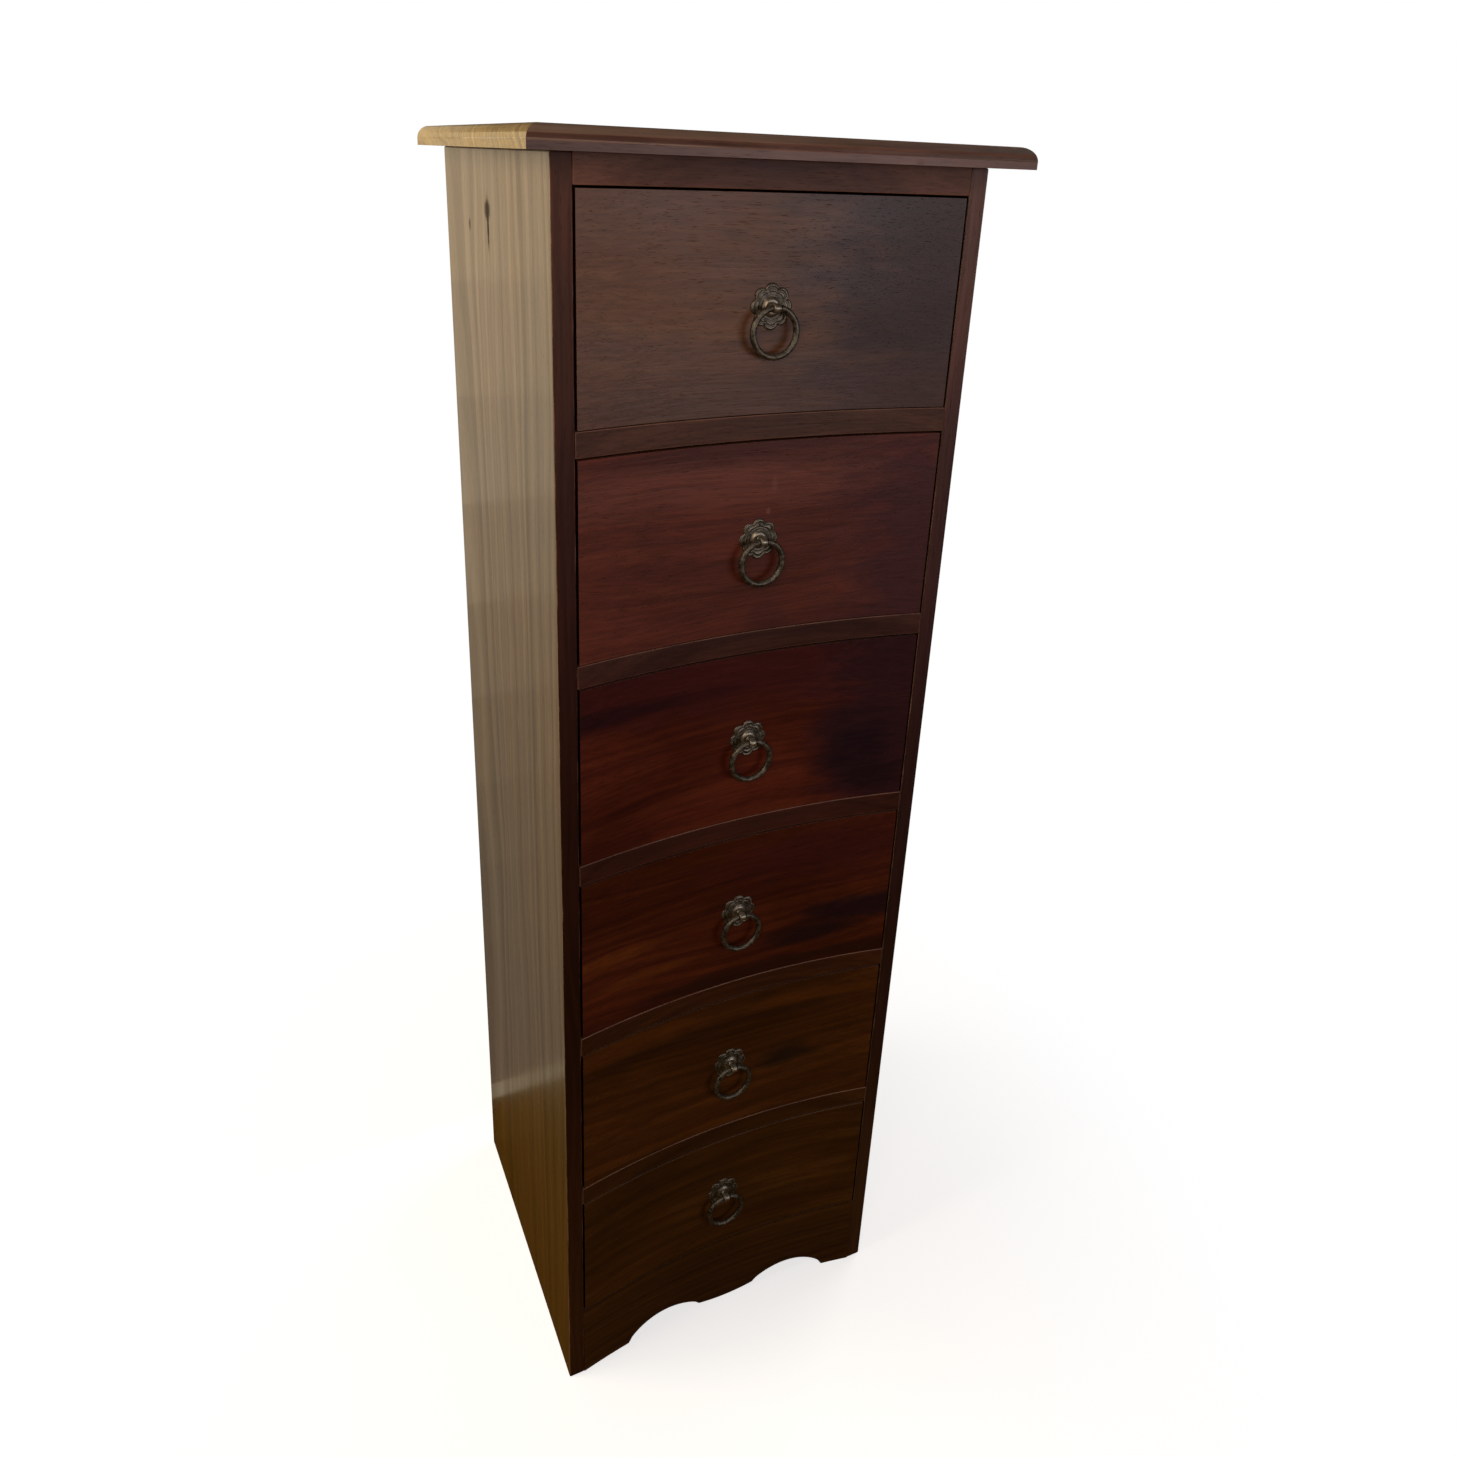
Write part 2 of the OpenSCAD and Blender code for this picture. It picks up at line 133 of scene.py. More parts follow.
def hangLamps():
    for name, settings in lamps.items():
        hangLamp(name, *settings)
    step = (wallGlow["high"] - wallGlow["low"]) / wallGlow["strips"]
    for number in range(wallGlow["strips"]):
        low = wallGlow["low"] + step * number
        middle = low + step / 2
        share = min(1.0, middle / boardTop)
        colour = Vector(wallGlow["lowColour"]).lerp(Vector(wallGlow["highColour"]), share)
        hangStrip(f"wallGlow{number}", low, low + step, between(wallGlow["levels"], middle), colour)
    hangStrip("skirtingGlow", skirting["low"], skirting["high"], skirting["brightness"], skirting["colour"])


# Small tools for node trees

def feed(tree, socket, value):
    if isinstance(value, bpy.types.NodeSocket):
        tree.links.new(value, socket)
    else:
        socket.default_value = value


def put(tree, kind, feeds=(), **settings):
    made = tree.nodes.new(kind)
    for name, value in settings.items():
        setattr(made, name, value)
    for name, value in dict(feeds).items():
        feed(tree, made.inputs[name], value)
    return made


def maths(tree, operation, *values, clamp=False):
    made = put(tree, "ShaderNodeMath", operation=operation, use_clamp=clamp)
    for socket, value in zip(made.inputs, values):
        feed(tree, socket, value)
    return made.outputs[0]


def vectorMaths(tree, operation, *values, result=0):
    made = put(tree, "ShaderNodeVectorMath", operation=operation)
    for socket, value in zip(made.inputs, values):
        feed(tree, socket, value)
    return made.outputs[result]


def blendColours(tree, factor, first, second, mode="MIX"):
    made = put(tree, "ShaderNodeMix", data_type="RGBA", blend_type=mode)
    feed(tree, made.inputs[0], factor)
    feed(tree, made.inputs[6], first)
    feed(tree, made.inputs[7], second)
    return made.outputs[2]


def spread(tree, value, fromLow, fromHigh, toLow=0.0, toHigh=1.0, smooth=True):
    made = put(tree, "ShaderNodeMapRange", interpolation_type="SMOOTHSTEP" if smooth else "LINEAR")
    for socket, part in zip(made.inputs, (value, fromLow, fromHigh, toLow, toHigh)):
        feed(tree, socket, part)
    return made.outputs[0]


def cloudNoise(tree, place, seed, scale=1.0, detail=2.0, roughness=0.5):
    made = put(tree, "ShaderNodeTexNoise", {"Vector": place, "W": seed, "Scale": scale,
                                            "Detail": detail, "Roughness": roughness},
               noise_dimensions="4D")
    return made.outputs["Fac"]


def ramp(tree, factor, stops):
    made = put(tree, "ShaderNodeValToRGB", {"Fac": factor})
    band = made.color_ramp
    while len(band.elements) < len(stops):
        band.elements.new(1.0)
    for element, (place, colour) in zip(band.elements, stops):
        element.position = place
        element.color = (*colour, 1.0)
    return made.outputs["Color"]


def newGroup(name, inputs, outputs):
    tree = bpy.data.node_groups.new(name, "ShaderNodeTree")
    for label, kind, value in inputs:
        socket = tree.interface.new_socket(label, in_out="INPUT", socket_type="NodeSocket" + kind)
        socket.default_value = value
    for label, kind in outputs:
        tree.interface.new_socket(label, in_out="OUTPUT", socket_type="NodeSocket" + kind)
    source = tree.nodes.new("NodeGroupInput").outputs
    sink = tree.nodes.new("NodeGroupOutput").inputs
    return tree, source, sink


def placeGroup(tree, group, feeds):
    made = put(tree, "ShaderNodeGroup", node_tree=group)
    for name, value in feeds.items():
        feed(tree, made.inputs[name], value)
    return made.outputs


# Shared effects

# How far the noises are squeezed along and across the grain
grain = {"drift": (1.6, 7.0, 7.0), "taper": (0.06, 1.0, 1.0), "fibres": (14.0, 330.0, 330.0),
         "pores": (75.0, 1500.0, 1500.0), "clouds": (4.0, 11.0, 11.0), "ragged": (14.0, 20.0, 45.0)}


def squeezed(tree, place, name):
    return vectorMaths(tree, "MULTIPLY", place, grain[name])


def woodFigureGroup():
    tree, given, out = newGroup(
        "woodFigure",
        [("Place", "Vector", (0, 0, 0)), ("Heart", "Vector", (0, 0.05, 0.2)),
         ("Band Gap", "Float", 0.01), ("Wander", "Float", 0.03), ("Seed", "Float", 0.0)],
        [("Figure", "Float"), ("Fibre", "Float"), ("Pores", "Float"), ("Cloud", "Float"),
         ("Height", "Float")],
    )
    place, seed = given["Place"], given["Seed"]
    drift = put(tree, "ShaderNodeTexNoise", {"Vector": squeezed(tree, place, "drift"), "W": seed,
                                             "Scale": 1.0, "Detail": 2.0}, noise_dimensions="4D")
    centred = vectorMaths(tree, "SUBTRACT", drift.outputs["Color"], (0.5, 0.5, 0.5))
    wandering = put(tree, "ShaderNodeVectorMath", {"Vector": centred, "Scale": given["Wander"]},
                    operation="SCALE").outputs[0]
    bent = vectorMaths(tree, "ADD", place, wandering)
    fromHeart = vectorMaths(tree, "SUBTRACT", bent, given["Heart"])
    across = squeezed(tree, fromHeart, "taper")  # the tree tapers a little
    radius = vectorMaths(tree, "LENGTH", across, result=1)
    bands = maths(tree, "DIVIDE", radius, given["Band Gap"])
    rings = put(tree, "ShaderNodeTexNoise", {"W": maths(tree, "ADD", bands, seed), "Scale": 1.0,
                                             "Detail": 3.0, "Roughness": 0.62},
                noise_dimensions="1D")
    figure = spread(tree, rings.outputs["Fac"], 0.3, 0.72)
    fibres = cloudNoise(tree, squeezed(tree, bent, "fibres"), seed, detail=3.0, roughness=0.6)
    fibre = spread(tree, fibres, 0.3, 0.7)
    specks = cloudNoise(tree, squeezed(tree, bent, "pores"), seed, detail=1.0)
    pores = spread(tree, specks, 0.62, 0.74)
    clouds = cloudNoise(tree, squeezed(tree, bent, "clouds"), seed, detail=3.0, roughness=0.55)
    raised = maths(tree, "MULTIPLY", fibre, 0.5)
    feed(tree, out["Figure"], figure)
    feed(tree, out["Fibre"], fibre)
    feed(tree, out["Pores"], pores)
    feed(tree, out["Cloud"], spread(tree, clouds, 0.3, 0.7))
    feed(tree, out["Height"], maths(tree, "SUBTRACT", raised, maths(tree, "MULTIPLY", pores, 0.6)))
    return tree


def toneAndShadeGroup():
    tree, given, out = newGroup(
        "toneAndShadePatch",
        [("Place", "Vector", (0, 0, 0)), ("Middle", "Vector", (0, 0, 0)),
         ("Reach", "Vector", (0.05, 0.05, 0.05)), ("Strength", "Float", 1.0),
         ("Seed", "Float", 0.0)],
        [("Mask", "Float")],
    )
    away = vectorMaths(tree, "SUBTRACT", given["Place"], given["Middle"])
    shaped = vectorMaths(tree, "DIVIDE", away, given["Reach"])
    distance = vectorMaths(tree, "LENGTH", shaped, result=1)
    ragged = cloudNoise(tree, squeezed(tree, given["Place"], "ragged"), given["Seed"], detail=3.0,
                        roughness=0.6)
    edge = maths(tree, "ADD", distance, maths(tree, "MULTIPLY", ragged, 1.5))
    inside = spread(tree, edge, 1.05, 1.9, 1.0, 0.0)
    feed(tree, out["Mask"], maths(tree, "MULTIPLY", inside, given["Strength"], clamp=True))
    return tree


def edgeWearGroup():
    tree, given, out = newGroup(
        "edgeWear",
        [("Place", "Vector", (0, 0, 0)), ("Arris", "Float", 0.0), ("Amount", "Float", 0.5),
         ("Seed", "Float", 0.0)],
        [("Mask", "Float")],
    )
    broken = cloudNoise(tree, given["Place"], given["Seed"], scale=22.0, detail=4.0, roughness=0.65)
    gate = maths(tree, "SUBTRACT", 1.0, given["Amount"])
    worn = spread(tree, broken, maths(tree, "MULTIPLY", gate, 0.62), 0.75)
    feed(tree, out["Mask"], maths(tree, "MULTIPLY", worn, given["Arris"], clamp=True))
    return tree


def settledDustGroup():
    tree, given, out = newGroup(
        "settledDust",
        [("Place", "Vector", (0, 0, 0)), ("Amount", "Float", 0.2), ("Seed", "Float", 0.0)],
        [("Mask", "Float")],
    )
    outwards = put(tree, "ShaderNodeNewGeometry").outputs["Normal"]
    facing = put(tree, "ShaderNodeSeparateXYZ", {0: outwards})
    upward = spread(tree, facing.outputs["Z"], 0.35, 0.95)
    patchy = cloudNoise(tree, given["Place"], given["Seed"], scale=9.0, detail=4.0, roughness=0.7)
    thickness = spread(tree, patchy, 0.25, 0.75, 0.45, 1.0)
    lying = maths(tree, "MULTIPLY", upward, thickness)
    feed(tree, out["Mask"], maths(tree, "MULTIPLY", lying, given["Amount"], clamp=True))
    return tree


woodFigure = woodFigureGroup()
toneAndShadePatch = toneAndShadeGroup()
edgeWear = edgeWearGroup()
settledDust = settledDustGroup()


# Timber finishes

grainTurn = {"X": (0, 0, 0), "Y": (0, 0, math.radians(-90)), "Z": (0, math.radians(90), 0)}

settled = {"wood": (0.45, 0.41, 0.36, 1.0), "metal": (0.4, 0.37, 0.32, 1.0)}  # dust on each
rougher = {"cloud": 0.12, "pores": 0.15, "dust": 0.6, "dull": 0.5}  # what each adds to the roughness

# Patches and knots: middle, reach, strength, tint; some patches are painted light and some painted shade.
# Shade by height, painted shade and painted floor reflection: share of the board's height, tint
plainTimber = {
    "along": "X", "heart": (0.0, 0.06, 0.25), "bandGap": 0.012, "wander": 0.05, "seed": 1.0,
    "dark": (0.03, 0.012, 0.009), "middle": (0.10, 0.03, 0.018), "light": (0.16, 0.05, 0.026),
    "fibreDepth": 0.3, "poreDepth": 0.5, "cloudDepth": 0.35,
    "roughness": 0.46, "coat": 0.0, "coatRoughness": 0.4, "relief": 0.35, "shine": 0.35,
    "worn": (0.30, 0.17, 0.10), "edgeWearAndHighlight": 0.55, "dust": 0.12, "patches": (), "knots": (), "shadeByHeight": (),
}


def toneAndShadeMask(tree, place, patch, seed):
    middle, reach, strength, tint = patch
    mask = placeGroup(tree, toneAndShadePatch, {
        "Place": place, "Middle": middle, "Reach": reach, "Strength": strength, "Seed": seed})["Mask"]
    return mask, (*tint, 1.0)


def timber(name, **changes):
    spec = {**plainTimber, **changes}
    material = bpy.data.materials.new(name)
    material.use_nodes = True
    tree = material.node_tree
    shader = tree.nodes["Principled BSDF"]
    seed = spec["seed"]
    place = put(tree, "ShaderNodeTexCoord").outputs["Object"]
    turned = put(tree, "ShaderNodeMapping", {"Vector": place, "Rotation": grainTurn[spec["along"]]})
    wood = placeGroup(tree, woodFigure, {
        "Place": turned.outputs["Vector"], "Heart": spec["heart"], "Band Gap": spec["bandGap"],
        "Wander": spec["wander"], "Seed": seed})
    colour = ramp(tree, wood["Figure"], [(0.0, spec["dark"]), (0.45, spec["middle"]),
                                         (1.0, spec["light"])])
    cloud = spread(tree, wood["Cloud"], 0.0, 1.0, 1.0 - spec["cloudDepth"], 1.0, smooth=False)
    colour = blendColours(tree, 1.0, colour, cloud, "MULTIPLY")
    # the patches give the wood's own tone, and on some pieces painted light and painted shade
    for step, patch in enumerate(spec["patches"]):
        mask, tint = toneAndShadeMask(tree, place, patch, seed + step)
        colour = blendColours(tree, mask, colour, tint)
    dull = 0.0
    for step, knot in enumerate(spec["knots"]):  # open knots hold no polish
        mask, tint = toneAndShadeMask(tree, place, knot, seed - 1.0 - step)
        colour = blendColours(tree, mask, colour, tint)
        dull = maths(tree, "MAXIMUM", dull, mask)
    fibre = spread(tree, wood["Fibre"], 0.0, 1.0, 1.0 - spec["fibreDepth"], 1.0, smooth=False)
    colour = blendColours(tree, 1.0, colour, fibre, "MULTIPLY")
    dim = spread(tree, wood["Pores"], 0.0, 1.0, 1.0, 1.0 - spec["poreDepth"], smooth=False)
    colour = blendColours(tree, 1.0, colour, dim, "MULTIPLY")
    if spec["shadeByHeight"]:  # painted shade and painted floor reflection: darker and more ochre towards the floor
        level = put(tree, "ShaderNodeSeparateXYZ", {0: place}).outputs["Z"]
        waver = cloudNoise(tree, place, seed, scale=5.0, detail=3.0, roughness=0.6)
        level = maths(tree, "ADD", level, maths(tree, "MULTIPLY", waver, 0.06))
        share = maths(tree, "DIVIDE", level, boardTop)
        colour = blendColours(tree, 1.0, colour, ramp(tree, share, spec["shadeByHeight"]), "MULTIPLY")
    # lighter worn arrises: real wear, which also stands in as painted highlight lines along the edges
    arris = put(tree, "ShaderNodeAttribute", attribute_name="arris").outputs["Fac"]
    worn = placeGroup(tree, edgeWear, {"Place": place, "Arris": arris, "Amount": spec["edgeWearAndHighlight"],
                                       "Seed": seed})["Mask"]
    colour = blendColours(tree, worn, colour, (*spec["worn"], 1.0))
    dust = placeGroup(tree, settledDust, {"Place": place, "Amount": spec["dust"],
                                          "Seed": seed})["Mask"]
    colour = blendColours(tree, dust, colour, settled["wood"])
    feed(tree, shader.inputs["Base Color"], colour)
    matt = maths(tree, "MULTIPLY", wood["Cloud"], rougher["cloud"])
    matt = maths(tree, "ADD", matt, maths(tree, "MULTIPLY", wood["Pores"], rougher["pores"]))
    matt = maths(tree, "ADD", matt, maths(tree, "MULTIPLY", dust, rougher["dust"]))
    matt = maths(tree, "ADD", matt, maths(tree, "MULTIPLY", dull, rougher["dull"]))
    rough = maths(tree, "ADD", matt, spec["roughness"] - 0.06, clamp=True)
    feed(tree, shader.inputs["Roughness"], rough)
    shader.inputs["Specular IOR Level"].default_value = spec["shine"]
    if spec["coat"]:  # the polish lies thinner over the soft bands and not at all in the knots
        polish = spread(tree, wood["Figure"], 0.0, 1.0, 0.6 * spec["coat"], spec["coat"], smooth=False)
        polish = maths(tree, "MULTIPLY", polish, maths(tree, "SUBTRACT", 1.0, dull))
        feed(tree, shader.inputs["Coat Weight"], polish)
        shader.inputs["Coat Roughness"].default_value = spec["coatRoughness"]
    bump = put(tree, "ShaderNodeBump", {"Strength": spec["relief"], "Distance": 0.0004,
                                        "Height": wood["Height"]})
    feed(tree, shader.inputs["Normal"], bump.outputs["Normal"])
    return material


# rubbed arrises: lighter worn edges, also painted highlight lines along the edges
rubbed = {"edgeWearAndHighlight": 0.9, "worn": (0.34, 0.16, 0.10)}
# each front has its own tone, and the fronts darken from drawer 1 down to drawer 6: painted shade from the
# top down
drawerLooks = {
    1: {"seed": 3.1, "heart": (0, 0.1, 1.95), "bandGap": 0.016, "wander": 0.05, "shine": 0.5,
        "dark": (0.212, 0.102, 0.052), "middle": (0.238, 0.116, 0.060), "light": (0.258, 0.129, 0.067),
        "poreDepth": 0.35, "cloudDepth": 0.22,
        # drawer 1: the first patch is painted shade, the right part dark where the reflection ends
        "patches": [((0.172, -0.155, 1.24), (0.190, 0.5, 0.42), 0.97, (0.058, 0.034, 0.033)),
                    ((0.05, -0.155, 1.150), (0.34, 0.3, 0.045), 0.55, (0.115, 0.056, 0.044))]},
    2: {"seed": 7.4, "heart": (0.05, 0.0, 1.45), "bandGap": 0.013, "wander": 0.08, "shine": 0.3,
        "dark": (0.185, 0.043, 0.026), "middle": (0.218, 0.052, 0.030), "light": (0.248, 0.062, 0.034),
        **rubbed, "cloudDepth": 0.45,
        # drawer 2: the first patch is a painted sheen, a lighter band across the top
        "patches": [((-0.04, -0.155, 1.078), (0.24, 0.3, 0.030), 0.6, (0.270, 0.090, 0.062)),
                    ((0.18, -0.16, 1.00), (0.11, 0.5, 0.20), 0.95, (0.088, 0.026, 0.030)),
                    ((-0.06, -0.155, 1.106), (0.20, 0.3, 0.013), 0.8, (0.10, 0.026, 0.020)),
                    ((0.012, -0.147, 0.938), (0.030, 0.2, 0.022), 0.6, (0.10, 0.024, 0.022)),
                    ((0.014, -0.147, 1.074), (0.004, 0.1, 0.009), 0.35, (0.36, 0.16, 0.11)),
                    ((0.009, -0.147, 1.048), (0.003, 0.1, 0.004), 0.45, (0.38, 0.18, 0.13))]},
    3: {"seed": 11.8, "heart": (0.0, 0.05, 0.30), "bandGap": 0.015, "wander": 0.09, "shine": 0.12,
        "dark": (0.140, 0.026, 0.014), "middle": (0.180, 0.034, 0.015), "light": (0.212, 0.044, 0.017),
        **rubbed, "cloudDepth": 0.5,
        "patches": [((0.0, -0.155, 0.892), (0.60, 0.5, 0.060), 0.85, (0.080, 0.016, 0.017)),
                    ((-0.14, -0.155, 0.868), (0.14, 0.3, 0.012), 0.9, (0.040, 0.010, 0.012)),
                    ((0.165, -0.16, 0.81), (0.110, 0.5, 0.24), 0.9, (0.052, 0.016, 0.022)),
                    ((0.125, -0.156, 0.785), (0.060, 0.3, 0.050), 0.75, (0.022, 0.010, 0.018)),
                    ((0.150, -0.156, 0.742), (0.050, 0.3, 0.022), 0.7, (0.026, 0.010, 0.014))]},
    4: {"seed": 15.2, "heart": (0.0, 0.05, 1.15), "bandGap": 0.012, "wander": 0.11, "shine": 0.2,
        "dark": (0.105, 0.018, 0.006), "middle": (0.138, 0.025, 0.007), "light": (0.175, 0.036, 0.008),
        **rubbed, "cloudDepth": 0.5,
        "patches": [((0.160, -0.158, 0.575), (0.100, 0.4, 0.024), 0.9, (0.022, 0.007, 0.011)),
                    ((0.095, -0.150, 0.548), (0.075, 0.4, 0.016), 0.9, (0.022, 0.007, 0.008)),
                    ((-0.150, -0.160, 0.592), (0.070, 0.4, 0.010), 0.7, (0.220, 0.056, 0.009)),
                    ((-0.11, -0.150, 0.556), (0.09, 0.4, 0.007), 0.6, (0.210, 0.056, 0.009)),
                    ((0.12, -0.150, 0.655), (0.16, 0.4, 0.050), 0.6, (0.085, 0.014, 0.014)),
                    ((0.04, -0.150, 0.517), (0.24, 0.4, 0.012), 0.9, (0.040, 0.010, 0.005))]},
    5: {"seed": 21.6, "heart": (0.0, 0.05, 0.95), "bandGap": 0.013, "wander": 0.10, "shine": 0.2,
        "dark": (0.098, 0.029, 0.004), "middle": (0.124, 0.038, 0.005), "light": (0.150, 0.048, 0.006),
        **rubbed, "cloudDepth": 0.45,
        "patches": [((0.071, -0.150, 0.378), (0.045, 0.3, 0.020), 0.8, (0.020, 0.012, 0.006)),
                    ((-0.13, -0.155, 0.470), (0.12, 0.3, 0.016), 0.7, (0.150, 0.044, 0.006)),
                    ((-0.03, -0.150, 0.447), (0.20, 0.3, 0.010), 0.8, (0.050, 0.015, 0.004)),
                    ((0.10, -0.150, 0.458), (0.12, 0.3, 0.010), 0.6, (0.170, 0.050, 0.006)),
                    ((-0.049, -0.150, 0.352), (0.14, 0.3, 0.008), 0.6, (0.060, 0.017, 0.003)),
                    ((0.10, -0.150, 0.320), (0.16, 0.3, 0.020), 0.6, (0.075, 0.022, 0.004))]},
    6: {"seed": 27.3, "heart": (0.0, 0.09, -0.35), "bandGap": 0.014, "wander": 0.09, "shine": 0.2,
        "dark": (0.096, 0.034, 0.005), "middle": (0.118, 0.043, 0.006), "light": (0.142, 0.053, 0.007),
        "cloudDepth": 0.45,
        "patches": [((0.08, -0.150, 0.135), (0.18, 0.3, 0.018), 0.7, (0.070, 0.022, 0.005)),
                    ((0.02, -0.150, 0.236), (0.20, 0.3, 0.008), 0.6, (0.070, 0.023, 0.004))]},
}
# Painted shade and painted reflection by height: darker and more ochre towards the floor, greyer high up
stileFade = [(0.0, (0.60, 0.53, 0.23)), (0.3, (0.36, 0.26, 0.15)), (0.5, (0.31, 0.19, 0.17)),
             (0.7, (0.42, 0.28, 0.32)), (0.85, (0.52, 0.43, 0.46)), (1.0, (0.9, 0.9, 0.9))]
rightFade = [(0.0, (0.42, 0.34, 0.12)), (0.3, (0.21, 0.13, 0.09)), (0.5, (0.20, 0.12, 0.13)),
             (0.7, (0.33, 0.22, 0.26)), (0.85, (0.50, 0.40, 0.42)), (1.0, (0.9, 0.9, 0.9))]
frameFade = [(0.0, (0.60, 0.60, 0.21)), (0.2, (0.56, 0.51, 0.18)), (0.37, (0.50, 0.38, 0.18)),
             (0.52, (0.42, 0.26, 0.26)), (0.67, (0.52, 0.42, 0.52)), (0.83, (0.70, 0.84, 1.0)),
             (1.0, (1.0, 1.0, 1.0))]
frameStainAndShade = {"dark": (0.140, 0.052, 0.032), "middle": (0.190, 0.075, 0.042),
              "light": (0.235, 0.097, 0.053), "bandGap": 0.012, "wander": 0.05, "shine": 0.25,
              "edgeWearAndHighlight": 0.9, "worn": (0.42, 0.22, 0.15), "shadeByHeight": frameFade}
stileStainAndShade = {**frameStainAndShade, "along": "Z", "edgeWearAndHighlight": 0.25, "heart": (0, 0.1, 0.5), "shadeByHeight": stileFade}
boardStainAndShade = {
    "along": "Z", "bandGap": 0.014, "wander": 0.06, "roughness": 0.42, "shine": 0.5,
    "coat": 0.75, "coatRoughness": 0.2, "worn": (0.36, 0.25, 0.15), "edgeWearAndHighlight": 0.6,
    "dark": (0.120, 0.072, 0.034), "middle": (0.170, 0.106, 0.052), "light": (0.212, 0.137, 0.070),
    "fibreDepth": 0.34, "poreDepth": 0.45, "cloudDepth": 0.22,
    # painted shade and painted floor reflection: darker and ochre towards the floor
    "shadeByHeight": [(0.0, (0.64, 0.33, 0.0)), (0.22, (0.62, 0.42, 0.08)), (0.36, (0.64, 0.60, 0.50)),
                (0.75, (0.93, 0.93, 0.9)), (1.0, (1.0, 1.0, 1.0))],
}
innerStain = {"dark": (0.30, 0.18, 0.09), "middle": (0.43, 0.28, 0.15), "light": (0.54, 0.37, 0.21),
              "roughness": 0.68, "coat": 0.0, "worn": (0.5, 0.36, 0.22), "edgeWearAndHighlight": 0.3,
              "dust": 0.2, "fibreDepth": 0.22, "relief": 0.5}
plyStain = {"dark": (0.36, 0.24, 0.13), "middle": (0.47, 0.33, 0.19), "light": (0.56, 0.41, 0.25),
            "roughness": 0.72, "coat": 0.0, "worn": (0.5, 0.38, 0.25), "edgeWearAndHighlight": 0.3, "dust": 0.25,
            "bandGap": 0.03, "wander": 0.12, "relief": 0.4}


# Aged bronze and zinc steel

metalLook = {"mottle": 260.0, "fine": 1400.0, "bloom": 150.0, "rubbed": 0.85, "rubbedLight": 2.4,
             "dust": 0.25, "relief": 0.3}


def agedMetal(name, dark, light, seed, patina, darkening):
    material = bpy.data.materials.new(name)
    material.use_nodes = True
    tree = material.node_tree
    shader = tree.nodes["Principled BSDF"]
    place = put(tree, "ShaderNodeTexCoord").outputs["Object"]
    mottle = cloudNoise(tree, place, seed, scale=metalLook["mottle"], detail=4.0, roughness=0.65)
    fine = cloudNoise(tree, place, seed + 5.0, scale=metalLook["fine"], roughness=0.6)
    colour = blendColours(tree, spread(tree, mottle, 0.35, 0.68), (*dark, 1.0), (*light, 1.0))
    blotches = cloudNoise(tree, place, seed + 9.0, scale=metalLook["bloom"], detail=3.0, roughness=0.6)
    bloom = spread(tree, blotches, 0.55, 0.72, 0.0, darkening)
    colour = blendColours(tree, bloom, colour, (*patina, 1.0))
    ridge = put(tree, "ShaderNodeAttribute", attribute_name="arris").outputs["Fac"]
    worn = placeGroup(tree, edgeWear, {"Place": place, "Arris": ridge, "Amount": metalLook["rubbed"],
                                       "Seed": seed})["Mask"]
    bright = tuple(min(1.0, metalLook["rubbedLight"] * part) for part in light)
    colour = blendColours(tree, worn, colour, (*bright, 1.0))
    dust = placeGroup(tree, settledDust, {"Place": place, "Amount": metalLook["dust"],
                                          "Seed": seed})["Mask"]
    colour = blendColours(tree, dust, colour, settled["metal"])
    feed(tree, shader.inputs["Base Color"], colour)
    covered = maths(tree, "ADD", bloom, dust)
    feed(tree, shader.inputs["Metallic"], spread(tree, covered, 0.0, 1.0, 0.9, 0.3))
    smoother = maths(tree, "MULTIPLY", worn, -0.12)
    rough = maths(tree, "ADD", spread(tree, mottle, 0.3, 0.7, 0.38, 0.56), smoother)
    feed(tree, shader.inputs["Roughness"], maths(tree, "ADD", rough, maths(tree, "MULTIPLY", dust, 0.3)))
    height = maths(tree, "ADD", mottle, maths(tree, "MULTIPLY", fine, 0.3))
    bump = put(tree, "ShaderNodeBump", {"Strength": metalLook["relief"], "Distance": 0.0002,
                                        "Height": height})
    feed(tree, shader.inputs["Normal"], bump.outputs["Normal"])
    return material


agedBronze = agedMetal("agedBronze", (0.070, 0.067, 0.053), (0.25, 0.232, 0.18), 2.0,
                       (0.09, 0.10, 0.078), 0.5)
zincSteel = agedMetal("zincSteel", (0.32, 0.32, 0.31), (0.46, 0.46, 0.44), 6.0,
                      (0.20, 0.15, 0.11), 0.6)


# Joinery: each packed wooden part gets a welded copy with eased arrises

easing = {"board": 0.0014, "rail": 0.0010, "inner": 0.0006, "sheet": 0.0003,
          "weld": 1e-6, "flatDegrees": 0.3, "cornerDegrees": 28.0, "sharpDegrees": 40.0, "evenness": 90}


